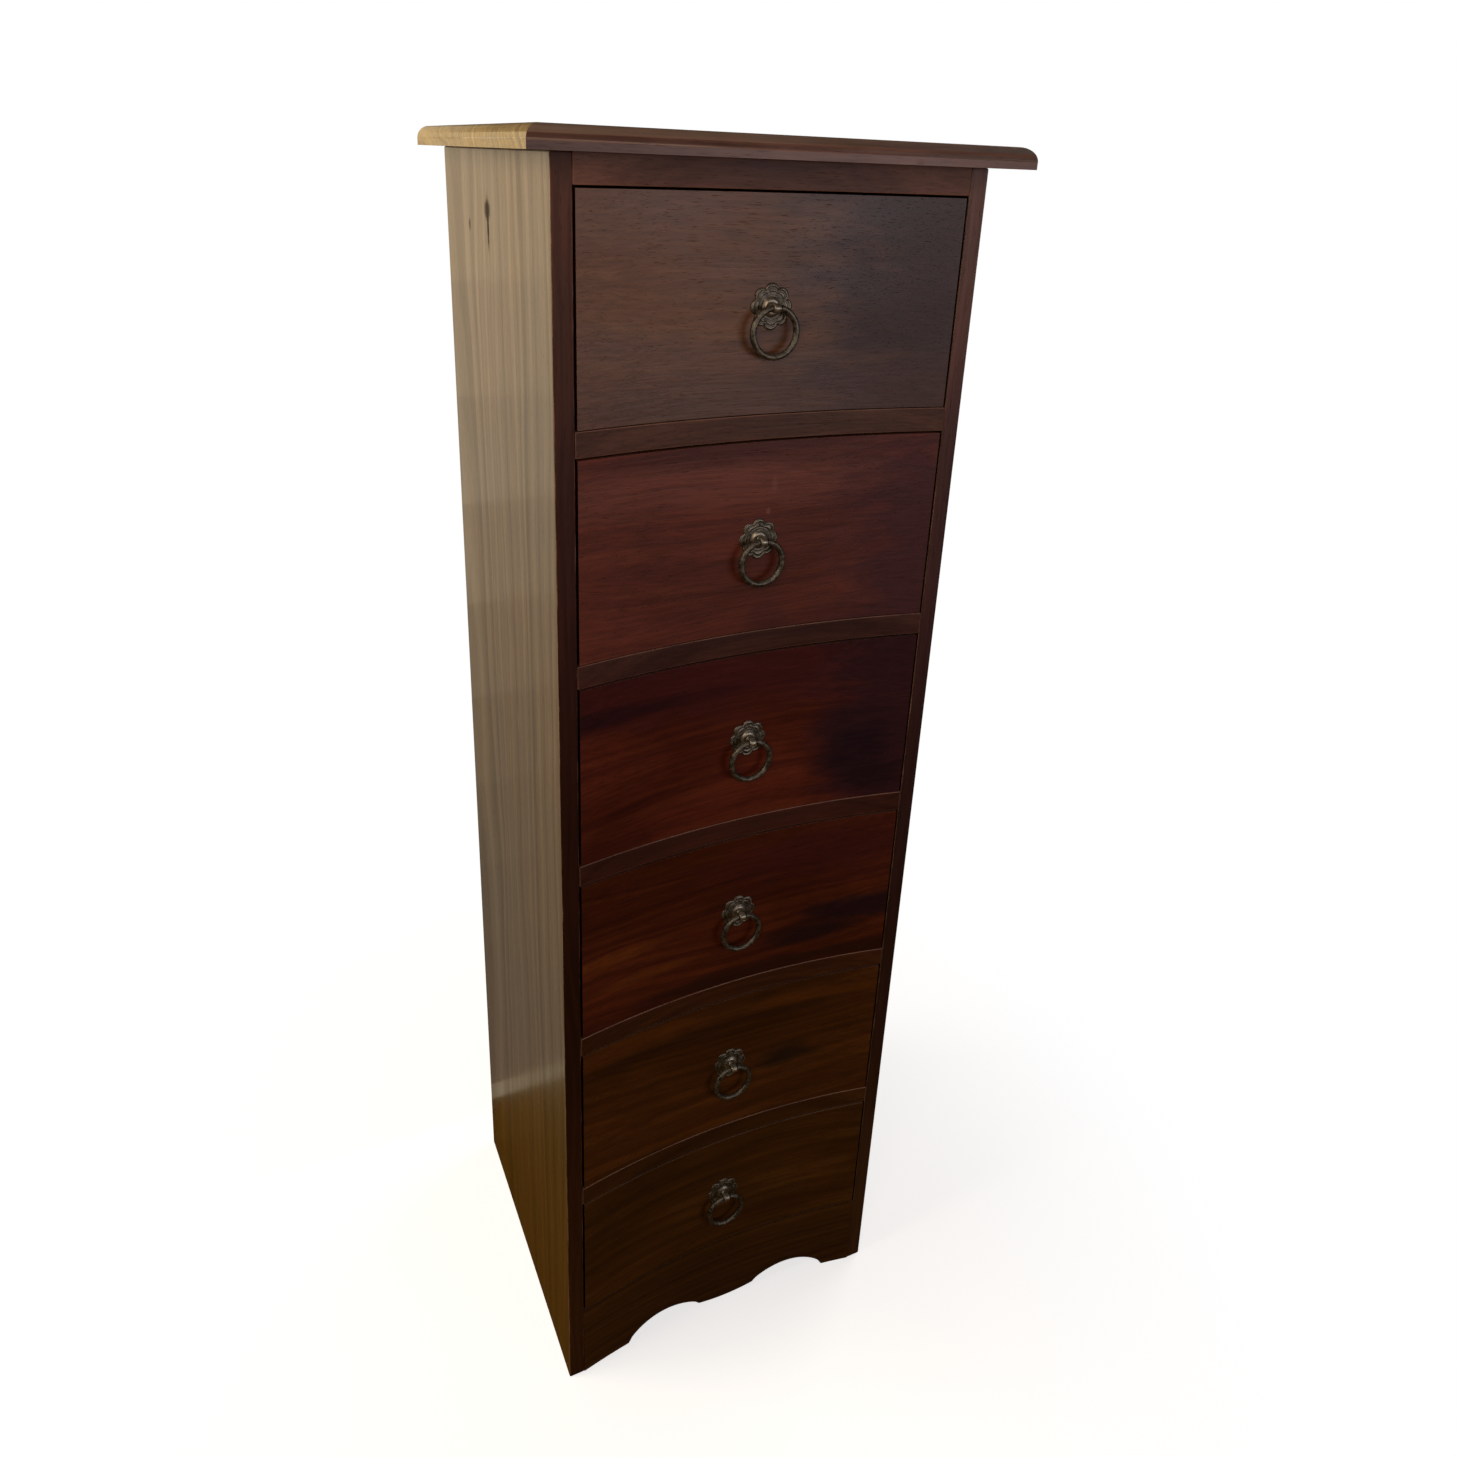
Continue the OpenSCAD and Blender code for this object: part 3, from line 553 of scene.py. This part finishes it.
def finishedCopy(node, stock, body, material, otherFacesLook=None, takesOther=None):
    ease = easing[stock]
    shape = bmesh.new()
    shape.from_mesh(nodes[node].data)
    bmesh.ops.remove_doubles(shape, verts=shape.verts, dist=easing["weld"])
    bmesh.ops.dissolve_limit(shape, angle_limit=math.radians(easing["flatDegrees"]), verts=shape.verts,
                             edges=shape.edges, delimit=set())
    corners = [e for e in shape.edges
               if len(e.link_faces) == 2 and e.calc_length() > 2 * ease
               and e.calc_face_angle(0.0) > math.radians(easing["cornerDegrees"])
               and e.is_convex]
    eased = bmesh.ops.bevel(shape, geom=corners, offset=ease, offset_type="OFFSET", segments=2,
                            profile=0.5, affect="EDGES", clamp_overlap=True)
    strips = set(eased["faces"])
    layer = shape.verts.layers.float.new("arris")
    for vertex in shape.verts:
        vertex[layer] = 1.0 if vertex.link_faces and all(f in strips for f in vertex.link_faces) else 0.0
    bmesh.ops.triangulate(shape, faces=[f for f in shape.faces if len(f.verts) > 4])
    mesh = bpy.data.meshes.new(node + "_finished")
    shape.to_mesh(mesh)
    shape.free()
    mesh = evenShading(mesh)
    showPiece(mesh, body, material, [node])
    if otherFacesLook:  # some faces of this board get a material of their own; on the right board's front edge and the top's ends it carries painted light, on the drawer ends painted shade
        mesh.materials.append(otherFacesLook)
        for face in mesh.polygons:
            face.material_index = 1 if takesOther(face.normal) else 0


def evenShading(mesh):
    # the wide faces keep their own direction, so only the eased corners turn the light
    shadeSmooth(mesh, easing["sharpDegrees"])
    holder = bpy.data.objects.new(mesh.name + "_shading", mesh)
    scene.collection.objects.link(holder)
    weighted = holder.modifiers.new("shading", "WEIGHTED_NORMAL")
    weighted.mode = "FACE_AREA"
    weighted.weight = easing["evenness"]
    weighted.keep_sharp = True
    graph = bpy.context.evaluated_depsgraph_get()
    shaded = bpy.data.meshes.new_from_object(holder.evaluated_get(graph), preserve_all_data_layers=True,
                                             depsgraph=graph)
    shaded.name = mesh.name
    bpy.data.objects.remove(holder)
    bpy.data.meshes.remove(mesh)
    return shaded


def shadeSmooth(mesh, sharpDegrees):
    mesh.shade_smooth()
    mesh.set_sharp_from_angle(angle=math.radians(sharpDegrees))


def showPiece(mesh, body, material, replaced=()):
    piece = bpy.data.objects.new(mesh.name, mesh)
    scene.collection.objects.link(piece)
    mesh.materials.clear()
    mesh.materials.append(material)
    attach(piece, body)
    if replaced:
        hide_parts(*replaced)


knots = [  # open knots and a bruise in the left board
    ((sideOuter, 0.028, 1.300), (0.01, 0.010, 0.012), 1.0, (0.045, 0.026, 0.012)),
    ((sideOuter, 0.026, 1.288), (0.01, 0.004, 0.032), 1.0, (0.020, 0.012, 0.006)),
    ((sideOuter, 0.097, 1.282), (0.01, 0.006, 0.007), 0.9, (0.05, 0.03, 0.015)),
    ((sideOuter, -0.023, 0.807), (0.01, 0.006, 0.016), 0.6, (0.24, 0.20, 0.15)),
]
darkening = [((side * sideInner, frontY, boardTop / 2), (0.006, 0.08, 9.0), 1.0, (0.012, 0.006, 0.005))
         for side in (-1, 1)]  # painted shade on the inner faces, next to the gaps round the drawers


def buildSides():
    # both boards carry painted shade, darker and more ochre towards the floor, and painted shade beside the
    # drawer gaps
    leftStainAndShade = timber("leftBoardVarnishAndShade", **{**boardStainAndShade, "seed": 5.0, "heart": (0.5, 0.18, 0.34),
                                              "patches": darkening, "knots": knots})
    rightStainAndShade = timber("rightBoardVarnishAndShade", **{**boardStainAndShade, "seed": 8.0, "heart": (0.4, -0.2, 0.42),
                                                "patches": darkening})
    leftEdgeAndShade = timber("leftEdgeStainAndShade", **{**stileStainAndShade, "seed": 71.0, "dark": (0.115, 0.042, 0.025),
                                          "middle": (0.155, 0.061, 0.034), "light": (0.19, 0.078, 0.043)})
    # the right board's front edge is stained paler than the left's: painted light
    rightEdgeLitAndShaded = timber("rightEdgeStainLitAndShaded", **{**stileStainAndShade, "seed": 73.0, "dark": (0.21, 0.105, 0.085),
                                            "middle": (0.29, 0.150, 0.118), "light": (0.35, 0.185, 0.145),
                                            "shadeByHeight": rightFade})
    for node, face, edge in (("left_side", leftStainAndShade, leftEdgeAndShade), ("right_side", rightStainAndShade, rightEdgeLitAndShaded)):
        finishedCopy(node, "board", "case", face, edge, lambda normal: normal.y < -0.5)


def buildTop():
    topStainAndPaintedLight = timber("topBoardVarnishAndPaintedLight", seed=12.0, heart=(0.2, 0.1, 1.12), bandGap=0.012,
                      dark=(0.115, 0.052, 0.032), middle=(0.165, 0.076, 0.048),
                      light=(0.21, 0.105, 0.066), coat=0.42, coatRoughness=0.34,
                      shine=0.5, dust=0.22, worn=(0.42, 0.27, 0.17),
                      # painted light on the right of the top's front edge and painted shade on its left,
                      # evening out the lamps
                      patches=[((0.16, -0.20, 1.36), (0.28, 0.08, 0.10), 0.85, (0.25, 0.13, 0.095)),
                               ((-0.20, -0.20, 1.36), (0.10, 0.08, 0.10), 0.7, (0.125, 0.055, 0.034))])
    # the top's ends are much paler than its faces: painted light
    endVarnishPaintedLight = timber("topEndVarnishPaintedLight", **{**boardStainAndShade, "seed": 14.0, "along": "X", "shadeByHeight": (),
                                          "heart": (0, 0.2, 1.1), "bandGap": 0.006, "coat": 0.3,
                                          "dark": (0.32, 0.21, 0.080), "middle": (0.43, 0.30, 0.115),
                                          "light": (0.52, 0.38, 0.155)})
    finishedCopy("top_panel", "board", "case", topStainAndPaintedLight, endVarnishPaintedLight,
                 lambda normal: abs(normal.x) > 0.35)


def buildFrontFrame():
    # the rails and apron carry the frame's painted shade by height
    railStainAndShade = timber("topRailStainAndShade", **{**frameStainAndShade, "seed": 31.0, "heart": (0, 0.1, 1.28),
                                          "dark": (0.185, 0.082, 0.055), "middle": (0.25, 0.112, 0.073),
                                          "light": (0.30, 0.137, 0.088)})
    finishedCopy("top_rail", "rail", "case", railStainAndShade)
    for number in range(1, drawerCount):
        heart = (0.1 * number, 0.04, 1.2 - 0.2 * number)
        railStainAndShade = timber(f"railStain{number}", **{**frameStainAndShade, "seed": 33.0 + 2 * number, "heart": heart})
        finishedCopy(f"rail_{number}", "rail", "case", railStainAndShade)
    apronStainAndShade = timber("apronStainAndShade", **{**frameStainAndShade, "seed": 47.0, "heart": (0, 0, 0.6)})
    finishedCopy("apron", "rail", "case", apronStainAndShade)


acrossInner = timber("innerTimberAcross", **{**innerStain, "seed": 51.0})
deepInner = timber("innerTimberDeep", **{**innerStain, "seed": 53.0, "along": "Y"})
uprightPly = timber("plywoodUpright", **{**plyStain, "seed": 57.0, "along": "Z"})
flatPly = timber("plywoodFlat", **{**plyStain, "seed": 59.0})


def buildInside():
    for node, stain in (("runners", deepInner), ("rear_rails", acrossInner), ("drawer_stops", deepInner),
                        ("glue_blocks", deepInner)):
        finishedCopy(node, "inner", "case", stain)
    finishedCopy("bottom_board", "sheet", "case", flatPly)
    finishedCopy("back_panel", "sheet", "case", uprightPly)


def buildDrawers():
    # the drawer fronts' end faces, seen in the gaps, are near black: painted shade
    shadedEndGrain = timber("drawerEndGrainShade", **{**frameStainAndShade, "seed": 63.0, "shadeByHeight": (), "shine": 0.1,
                                           "dark": (0.018, 0.008, 0.006), "middle": (0.030, 0.012, 0.008),
                                           "light": (0.045, 0.018, 0.011), "edgeWearAndHighlight": 0.2})
    for number in drawerNumbers:
        body = f"drawer_{number}"
        frontStainAndShade = timber(f"drawerFront{number}", **drawerLooks[number])
        finishedCopy(f"{body}_front", "rail", body, frontStainAndShade, shadedEndGrain,
                     lambda normal: abs(normal.x) > 0.9)
        finishedCopy(f"{body}_sides", "inner", body, deepInner)
        finishedCopy(f"{body}_back", "inner", body, acrossInner)
        finishedCopy(f"{body}_bottom", "sheet", body, flatPly)


# Ring pulls

tenth = 0.0001  # a tenth of a millimetre, for the small steps of the turned outlines
ringLow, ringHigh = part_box("drawer_1_ring")
ring = {"radius": 0.021, "wire": (ringHigh.y - ringLow.y) / 2, "halfGap": 0.0043, "pin": 0.0016,
        "pinOverrun": 0.001}
plate = {"radius": 0.020, "lobeRadius": 0.0068, "lobes": 8, "thickness": 0.0016, "ground": 0.0010,
         "relief": 0.0011, "turns": 160, "rows": 22, "sharpDegrees": 50.0,
         "beads": ((0.10, 0.07, 0.30), (0.45, 0.09, 0.42), (0.86, 0.085, 0.50)), "fluteHeight": 0.22}
boss = {"foot": 0.0096, "top": 0.0064, "height": 0.0016}
bolt = {"knuckle": 0.0042, "width": 0.0068, "bore": 0.00165, "neck": 0.0029, "shank": 0.0020,
        "soft": 0.0007, "washer": 0.0010, "nut": 0.0046, "nutShort": 0.0014, "sharpDegrees": 45.0}
nail = {"out": 0.0150, "radius": 0.0012, "height": 0.0007}


def lobedEdge(angle):
    # distance from the plate's middle to its scalloped edge
    middle = plate["radius"] - plate["lobeRadius"]
    step = 2 * math.pi / plate["lobes"]
    away = abs((angle + step / 2) % step - step / 2)
    side = middle * math.sin(away)
    return middle * math.cos(away) + math.sqrt(max(0.0, plate["lobeRadius"] ** 2 - side ** 2))


def embossing(share, angle):
    # height of the chased beads and flutes above the plate's ground, share runs from boss to edge
    beads = sum(high * math.exp(-((share - at) / wide) ** 2) for at, wide, high in plate["beads"])
    flutes = 0.5 + 0.5 * math.cos(plate["lobes"] * angle)
    return beads + plate["fluteHeight"] * flutes * math.sin(math.pi * min(1.0, share))


def plateOutline(angle):
    # radius, height above the back and shine of each point, from the bore outwards
    edge, neck, ground = lobedEdge(angle), bolt["neck"], plate["ground"]
    bossTop = plate["thickness"] + boss["height"]
    points = [(neck - 3 * tenth, 0.0, 0.0), (neck - 3 * tenth, bossTop - 3 * tenth, 0.0),
              (neck + 2 * tenth, bossTop, 0.3), (boss["top"] - 5 * tenth, bossTop, 0.6),
              (boss["top"], bossTop - 2 * tenth, 1.0), (boss["top"] + 12 * tenth, bossTop - 9 * tenth, 0.5),
              (boss["foot"] - 12 * tenth, ground + 3 * tenth, 0.1)]
    for row in range(plate["rows"]):
        share = row / (plate["rows"] - 1)
        raised = embossing(share, angle)
        points.append((boss["foot"] + (edge - 5 * tenth - boss["foot"]) * share,
                       ground + plate["relief"] * raised, min(1.0, 1.6 * max(0.0, raised - 0.25))))
    return points + [(edge - tenth, ground - 2 * tenth, 0.4), (edge, ground - 6 * tenth, 0.2),
                     (edge, 0.0, 0.0)]


def closedMesh(shape, name, sharpDegrees):
    bmesh.ops.recalc_face_normals(shape, faces=shape.faces)
    mesh = bpy.data.meshes.new(name)
    shape.to_mesh(mesh)
    shape.free()
    shadeSmooth(mesh, sharpDegrees)
    return mesh


def stampedPlate(number):
    body = f"drawer_{number}"
    backY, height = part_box(f"{body}_plate")[1].y, hinges[f"ring_{number}"].z
    shape = bmesh.new()
    layer = shape.verts.layers.float.new("arris")
    columns = []
    for turn in range(plate["turns"]):
        angle = 2 * math.pi * turn / plate["turns"]
        column = []
        for radius, raised, shine in plateOutline(angle):
            vertex = shape.verts.new((radius * math.sin(angle), backY - raised,
                                      height + radius * math.cos(angle)))
            vertex[layer] = shine
            column.append(vertex)
        columns.append(column)
    for here, there in zip(columns, columns[1:] + columns[:1]):
        for row in range(len(here)):
            following = (row + 1) % len(here)
            shape.faces.new((here[row], there[row], there[following], here[following]))
    mesh = closedMesh(shape, f"{body}_stamped_plate", plate["sharpDegrees"])
    showPiece(mesh, body, agedBronze, [f"{body}_plate"])


turning = {"X": (Vector((1, 0, 0)), Vector((0, 1, 0)), Vector((0, 0, 1))),
           "Y": (Vector((0, 1, 0)), Vector((0, 0, 1)), Vector((1, 0, 0)))}


def lathe(shape, layer, outline, axis, middle, sides=32):
    # turns a closed outline of (along, radius, shine) points about an axis through middle
    along, first, second = turning[axis]
    rings = []
    for place, radius, shine in outline:
        if radius == 0.0:
            ringVerts = [shape.verts.new(middle + along * place)] * sides
            ringVerts[0][layer] = shine
        else:
            ringVerts = []
            for turn in range(sides):
                angle = 2 * math.pi * turn / sides
                out = first * math.cos(angle) + second * math.sin(angle)
                vertex = shape.verts.new(middle + along * place + out * radius)
                vertex[layer] = shine
                ringVerts.append(vertex)
        rings.append(ringVerts)
    reachesAxis = outline[0][1] == 0.0
    following = rings[1:] if reachesAxis else rings[1:] + rings[:1]
    for here, there in zip(rings, following):
        for turn in range(sides):
            after = (turn + 1) % sides
            corners = list(dict.fromkeys((here[turn], here[after], there[after], there[turn])))
            if len(corners) > 2:
                shape.faces.new(corners)


def eyeBolt(number):
    body = f"drawer_{number}"
    hinge = hinges[f"ring_{number}"]
    low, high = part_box(f"{body}_eye_bolt")
    insideFront = Vector((hinge.x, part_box(f"{body}_front")[1].y, hinge.z))
    half, out, bore, neck, shank, soft = (bolt["width"] / 2, bolt["knuckle"], bolt["bore"], bolt["neck"],
                                          bolt["shank"], bolt["soft"])
    shape = bmesh.new()
    layer = shape.verts.layers.float.new("arris")
    knuckle = [(-half, bore + 3 * tenth, 0.2), (-half, out - soft, 0.7),
               (-half + 0.3 * soft, out - 0.3 * soft, 1.0), (-half + soft, out, 0.8),
               (half - soft, out, 0.8), (half - 0.3 * soft, out - 0.3 * soft, 1.0),
               (half, out - soft, 0.7), (half, bore + 3 * tenth, 0.2), (half - 3 * tenth, bore, 0.0),
               (-half + 3 * tenth, bore, 0.0)]
    lathe(shape, layer, knuckle, "X", hinge, 40)
    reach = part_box(f"{body}_plate")[0].y - hinge.y
    end = high.y - hinge.y
    stem = [(0.6 * out, 0.0, 0.0), (0.6 * out, neck * 0.9, 0.0), (reach - 9 * tenth, neck, 0.3),
            (reach - 3 * tenth, neck + 4 * tenth, 0.9), (reach + tenth, neck + 7 * tenth, 0.6),
            (reach + 2 * tenth, shank, 0.0), (end - 4 * tenth, shank, 0.3),
            (end, shank - 4 * tenth, 0.6), (end, 0.0, 0.0)]
    lathe(shape, layer, stem, "Y", hinge)
    washerRadius, thick = (high.x - low.x) / 2, bolt["washer"]
    washer = [(0.0, shank, 0.0), (0.0, washerRadius - 2 * tenth, 0.0), (3 * tenth, washerRadius, 0.6),
              (thick - 2 * tenth, washerRadius, 0.6), (thick, washerRadius - 3 * tenth, 0.8),
              (thick, shank, 0.0)]
    lathe(shape, layer, washer, "Y", insideFront)
    nutEnd = high.y - insideFront.y - bolt["nutShort"]
    nut = [(thick, shank, 0.0), (thick, bolt["nut"], 0.2), (nutEnd - 4 * tenth, bolt["nut"], 0.7),
           (nutEnd, bolt["nut"] - 5 * tenth, 0.8), (nutEnd, shank, 0.0)]
    lathe(shape, layer, nut, "Y", insideFront, 6)
    mesh = closedMesh(shape, f"{body}_eye_bolt_turned", bolt["sharpDegrees"])
    showPiece(mesh, body, agedBronze, [f"{body}_eye_bolt"])


# Geometry Nodes for what repeats

def newGeometryTree(name, inputs):
    tree = bpy.data.node_groups.new(name, "GeometryNodeTree")
    for label, kind, value in inputs:
        socket = tree.interface.new_socket(label, in_out="INPUT", socket_type="NodeSocket" + kind)
        if value is not None:
            socket.default_value = value
    tree.interface.new_socket("Geometry", in_out="OUTPUT", socket_type="NodeSocketGeometry")
    return tree, put(tree, "NodeGroupInput").outputs, put(tree, "NodeGroupOutput").inputs


def finishGeometry(tree, out, geometry, finish):
    whole = put(tree, "GeometryNodeRealizeInstances", {"Geometry": geometry})
    coloured = put(tree, "GeometryNodeSetMaterial", {"Geometry": whole.outputs[0], "Material": finish})
    feed(tree, out["Geometry"], coloured.outputs[0])


def ringTree():
    tree, given, out = newGeometryTree("ringPull", [
        ("Hinge", "Vector", (0, 0, 0)), ("Ring Radius", "Float", ring["radius"]),
        ("Wire", "Float", ring["wire"]), ("Pin", "Float", ring["pin"]), ("Gap", "Float", 0.2),
        ("Finish", "Material", None)])
    start = maths(tree, "ADD", given["Gap"], math.pi / 2)
    sweep = maths(tree, "SUBTRACT", 2 * math.pi, maths(tree, "MULTIPLY", given["Gap"], 2.0))
    arc = put(tree, "GeometryNodeCurveArc", {"Resolution": 97, "Radius": given["Ring Radius"],
                                             "Start Angle": start, "Sweep Angle": sweep})
    section = put(tree, "GeometryNodeCurvePrimitiveCircle", {"Resolution": 28, "Radius": given["Wire"]})
    hoop = put(tree, "GeometryNodeCurveToMesh", {"Curve": arc.outputs["Curve"],
                                                 "Profile Curve": section.outputs["Curve"],
                                                 "Fill Caps": True})
    upright = put(tree, "GeometryNodeTransform", {"Geometry": hoop.outputs[0],
                                                  "Rotation": (math.pi / 2, 0, 0)})
    drop = maths(tree, "MULTIPLY", given["Ring Radius"], maths(tree, "COSINE", given["Gap"]))
    down = put(tree, "ShaderNodeCombineXYZ", {"Z": maths(tree, "MULTIPLY", drop, -1.0)})
    hung = put(tree, "GeometryNodeTransform", {"Geometry": upright.outputs[0],
                                               "Translation": down.outputs[0]})
    reach = maths(tree, "MULTIPLY", given["Ring Radius"], maths(tree, "SINE", given["Gap"]))
    reach = maths(tree, "ADD", reach, ring["pinOverrun"])
    left = put(tree, "ShaderNodeCombineXYZ", {"X": maths(tree, "MULTIPLY", reach, -1.0)})
    right = put(tree, "ShaderNodeCombineXYZ", {"X": reach})
    line = put(tree, "GeometryNodeCurvePrimitiveLine", {"Start": left.outputs[0], "End": right.outputs[0]})
    bar = put(tree, "GeometryNodeCurvePrimitiveCircle", {"Resolution": 20, "Radius": given["Pin"]})
    pin = put(tree, "GeometryNodeCurveToMesh", {"Curve": line.outputs["Curve"],
                                                "Profile Curve": bar.outputs["Curve"],
                                                "Fill Caps": True})
    both = put(tree, "GeometryNodeJoinGeometry")
    tree.links.new(hung.outputs[0], both.inputs[0])
    tree.links.new(pin.outputs[0], both.inputs[0])
    smooth = put(tree, "GeometryNodeSetShadeSmooth", {"Geometry": both.outputs[0]})
    placed = put(tree, "GeometryNodeTransform", {"Geometry": smooth.outputs[0],
                                                 "Translation": given["Hinge"]})
    finishGeometry(tree, out, placed.outputs[0], given["Finish"])
    return tree


def studTree():
    tree, given, out = newGeometryTree("domedStuds", [
        ("Geometry", "Geometry", None), ("Head Radius", "Float", nail["radius"]),
        ("Head Height", "Float", nail["height"]), ("Finish", "Material", None)])
    ball = put(tree, "GeometryNodeMeshUVSphere", {"Segments": 14, "Rings": 8, "Radius": 1.0})
    size = put(tree, "ShaderNodeCombineXYZ", {"X": given["Head Radius"], "Y": given["Head Height"],
                                              "Z": given["Head Radius"]})
    flattened = put(tree, "GeometryNodeTransform", {"Geometry": ball.outputs[0], "Scale": size.outputs[0]})
    smooth = put(tree, "GeometryNodeSetShadeSmooth", {"Geometry": flattened.outputs[0]})
    studs = put(tree, "GeometryNodeInstanceOnPoints", {"Points": given["Geometry"],
                                                       "Instance": smooth.outputs[0]})
    finishGeometry(tree, out, studs.outputs[0], given["Finish"])
    return tree


def grow(name, tree, values, points=()):
    # runs a node tree once and keeps the result as a plain mesh
    seedMesh = bpy.data.meshes.new(name + "_points")
    seedMesh.from_pydata([tuple(p) for p in points], [], [])
    holder = bpy.data.objects.new(name + "_grower", seedMesh)
    scene.collection.objects.link(holder)
    modifier = holder.modifiers.new("grow", "NODES")
    modifier.node_group = tree
    sockets = {item.name: item.identifier for item in tree.interface.items_tree
               if item.item_type == "SOCKET" and item.in_out == "INPUT"}
    for label, value in values.items():
        modifier[sockets[label]] = value
    bpy.context.view_layer.update()
    grown = holder.evaluated_get(bpy.context.evaluated_depsgraph_get())
    mesh = bpy.data.meshes.new_from_object(grown)
    mesh.name = name
    holder.modifiers.remove(modifier)
    bpy.data.objects.remove(holder)
    return mesh


ringPull = ringTree()
domedStuds = studTree()


def ringPiece(number):
    body = f"ring_{number}"
    mesh = grow(f"{body}_hoop", ringPull, {
        "Hinge": hinges[body], "Ring Radius": ring["radius"], "Wire": ring["wire"], "Pin": ring["pin"],
        "Gap": math.asin(ring["halfGap"] / ring["radius"]), "Finish": agedBronze})
    showPiece(mesh, body, agedBronze, [f"drawer_{number}_ring"])


def plateNails(number):
    hinge = hinges[f"ring_{number}"]
    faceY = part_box(f"drawer_{number}_plate")[1].y - plate["thickness"]
    places = [(0.0, faceY, hinge.z + side * nail["out"]) for side in (1, -1)]
    mesh = grow(f"drawer_{number}_plate_nails", domedStuds, {
        "Head Radius": nail["radius"], "Head Height": nail["height"], "Finish": agedBronze}, places)
    showPiece(mesh, f"drawer_{number}", agedBronze)


# Screws and tacks

tackHeight = 0.0010


def looseBoxes(node):
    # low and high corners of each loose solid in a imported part
    shape = bmesh.new()
    shape.from_mesh(nodes[node].data)
    bmesh.ops.remove_doubles(shape, verts=shape.verts, dist=easing["weld"])
    waiting, boxes = set(shape.verts), []
    while waiting:
        front, found = [waiting.pop()], []
        while front:
            vertex = front.pop()
            found.append(vertex.co.copy())
            for edge in vertex.link_edges:
                other = edge.other_vert(vertex)
                if other in waiting:
                    waiting.discard(other)
                    front.append(other)
        boxes.append((Vector(map(min, zip(*found))), Vector(map(max, zip(*found)))))
    shape.free()
    return sorted(boxes, key=lambda box: tuple(round(part, 5) for part in box[0]))


def backTacks():
    boxes = looseBoxes("back_screws")
    radius = (boxes[0][1].x - boxes[0][0].x) / 2
    places = [((low.x + high.x) / 2, high.y - tackHeight, (low.z + high.z) / 2) for low, high in boxes]
    mesh = grow("back_tack_heads", domedStuds, {
        "Head Radius": radius, "Head Height": tackHeight, "Finish": zincSteel}, places)
    showPiece(mesh, "case", zincSteel)


def fastenings():
    for node in ("top_screws", "back_screws"):
        nodes[node].data.materials.clear()
        nodes[node].data.materials.append(zincSteel)
    backTacks()


# The floor under the chest and the air round it

white = (1.0, 1.0, 1.0, 1.0)
floorLook = {"half": 40.0, "clear": (0.62, 0.62, 0.62, 1.0), "bounce": (0.14, 0.078, 0.012, 1.0),
             "fadeFrom": 0.26, "fadeTo": 0.85, "own": 0.70}
air = {"colour": (0.60, 0.48, 0.40, 1.0), "strength": 0.03}


def paleFloor():
    material = bpy.data.materials.new("paleFloor")
    material.use_nodes = True
    tree = material.node_tree
    tree.nodes.remove(tree.nodes["Principled BSDF"])
    place = put(tree, "ShaderNodeTexCoord").outputs["Object"]
    distance = vectorMaths(tree, "LENGTH", place, result=1)
    fade = spread(tree, distance, floorLook["fadeFrom"], floorLook["fadeTo"])
    near = put(tree, "ShaderNodeBsdfDiffuse", {"Color": floorLook["clear"]})
    glow = put(tree, "ShaderNodeEmission", {"Color": white, "Strength": floorLook["own"]})
    lit = put(tree, "ShaderNodeAddShader")
    tree.links.new(near.outputs[0], lit.inputs[0])
    tree.links.new(glow.outputs[0], lit.inputs[1])
    far = put(tree, "ShaderNodeEmission", {"Color": white, "Strength": 1.0})
    seen = put(tree, "ShaderNodeMixShader", {0: fade, 1: lit.outputs[0], 2: far.outputs[0]})
    bounce = put(tree, "ShaderNodeBsdfDiffuse", {"Color": floorLook["bounce"]})
    looked = put(tree, "ShaderNodeLightPath").outputs["Is Camera Ray"]
    final = put(tree, "ShaderNodeMixShader", {0: looked, 1: bounce.outputs[0], 2: seen.outputs[0]})
    tree.links.new(final.outputs[0], tree.nodes["Material Output"].inputs["Surface"])
    mesh = bpy.data.meshes.new("studioFloor")
    half = floorLook["half"]
    mesh.from_pydata([(-half, -half, 0), (half, -half, 0), (half, half, 0), (-half, half, 0)], [],
                     [(0, 1, 2, 3)])
    mesh.materials.append(material)
    floor = bpy.data.objects.new("studioFloor", mesh)
    scene.collection.objects.link(floor)


def studioAir():
    world = bpy.data.worlds.new("studioAir")
    world.use_nodes = True
    tree = world.node_tree
    plain = tree.nodes["Background"]
    plain.inputs["Color"].default_value = air["colour"]
    plain.inputs["Strength"].default_value = air["strength"]
    bright = put(tree, "ShaderNodeBackground", {"Color": white, "Strength": 1.0})
    looked = put(tree, "ShaderNodeLightPath").outputs["Is Camera Ray"]
    mixed = put(tree, "ShaderNodeMixShader", {0: looked, 1: plain.outputs[0], 2: bright.outputs[0]})
    tree.links.new(mixed.outputs[0], tree.nodes["World Output"].inputs["Surface"])
    scene.world = world
    scene.view_settings.view_transform = "Standard"
    scene.view_settings.look = "None"


placeCamera()
hangLamps()
studioAir()
paleFloor()
print("studio ready")
buildSides()
buildTop()
buildFrontFrame()
buildInside()
print("case ready")
buildDrawers()
print("drawers ready")
for number in drawerNumbers:
    stampedPlate(number)
    eyeBolt(number)
    ringPiece(number)
    plateNails(number)
print("ring pulls ready")
fastenings()
print("fastenings ready")
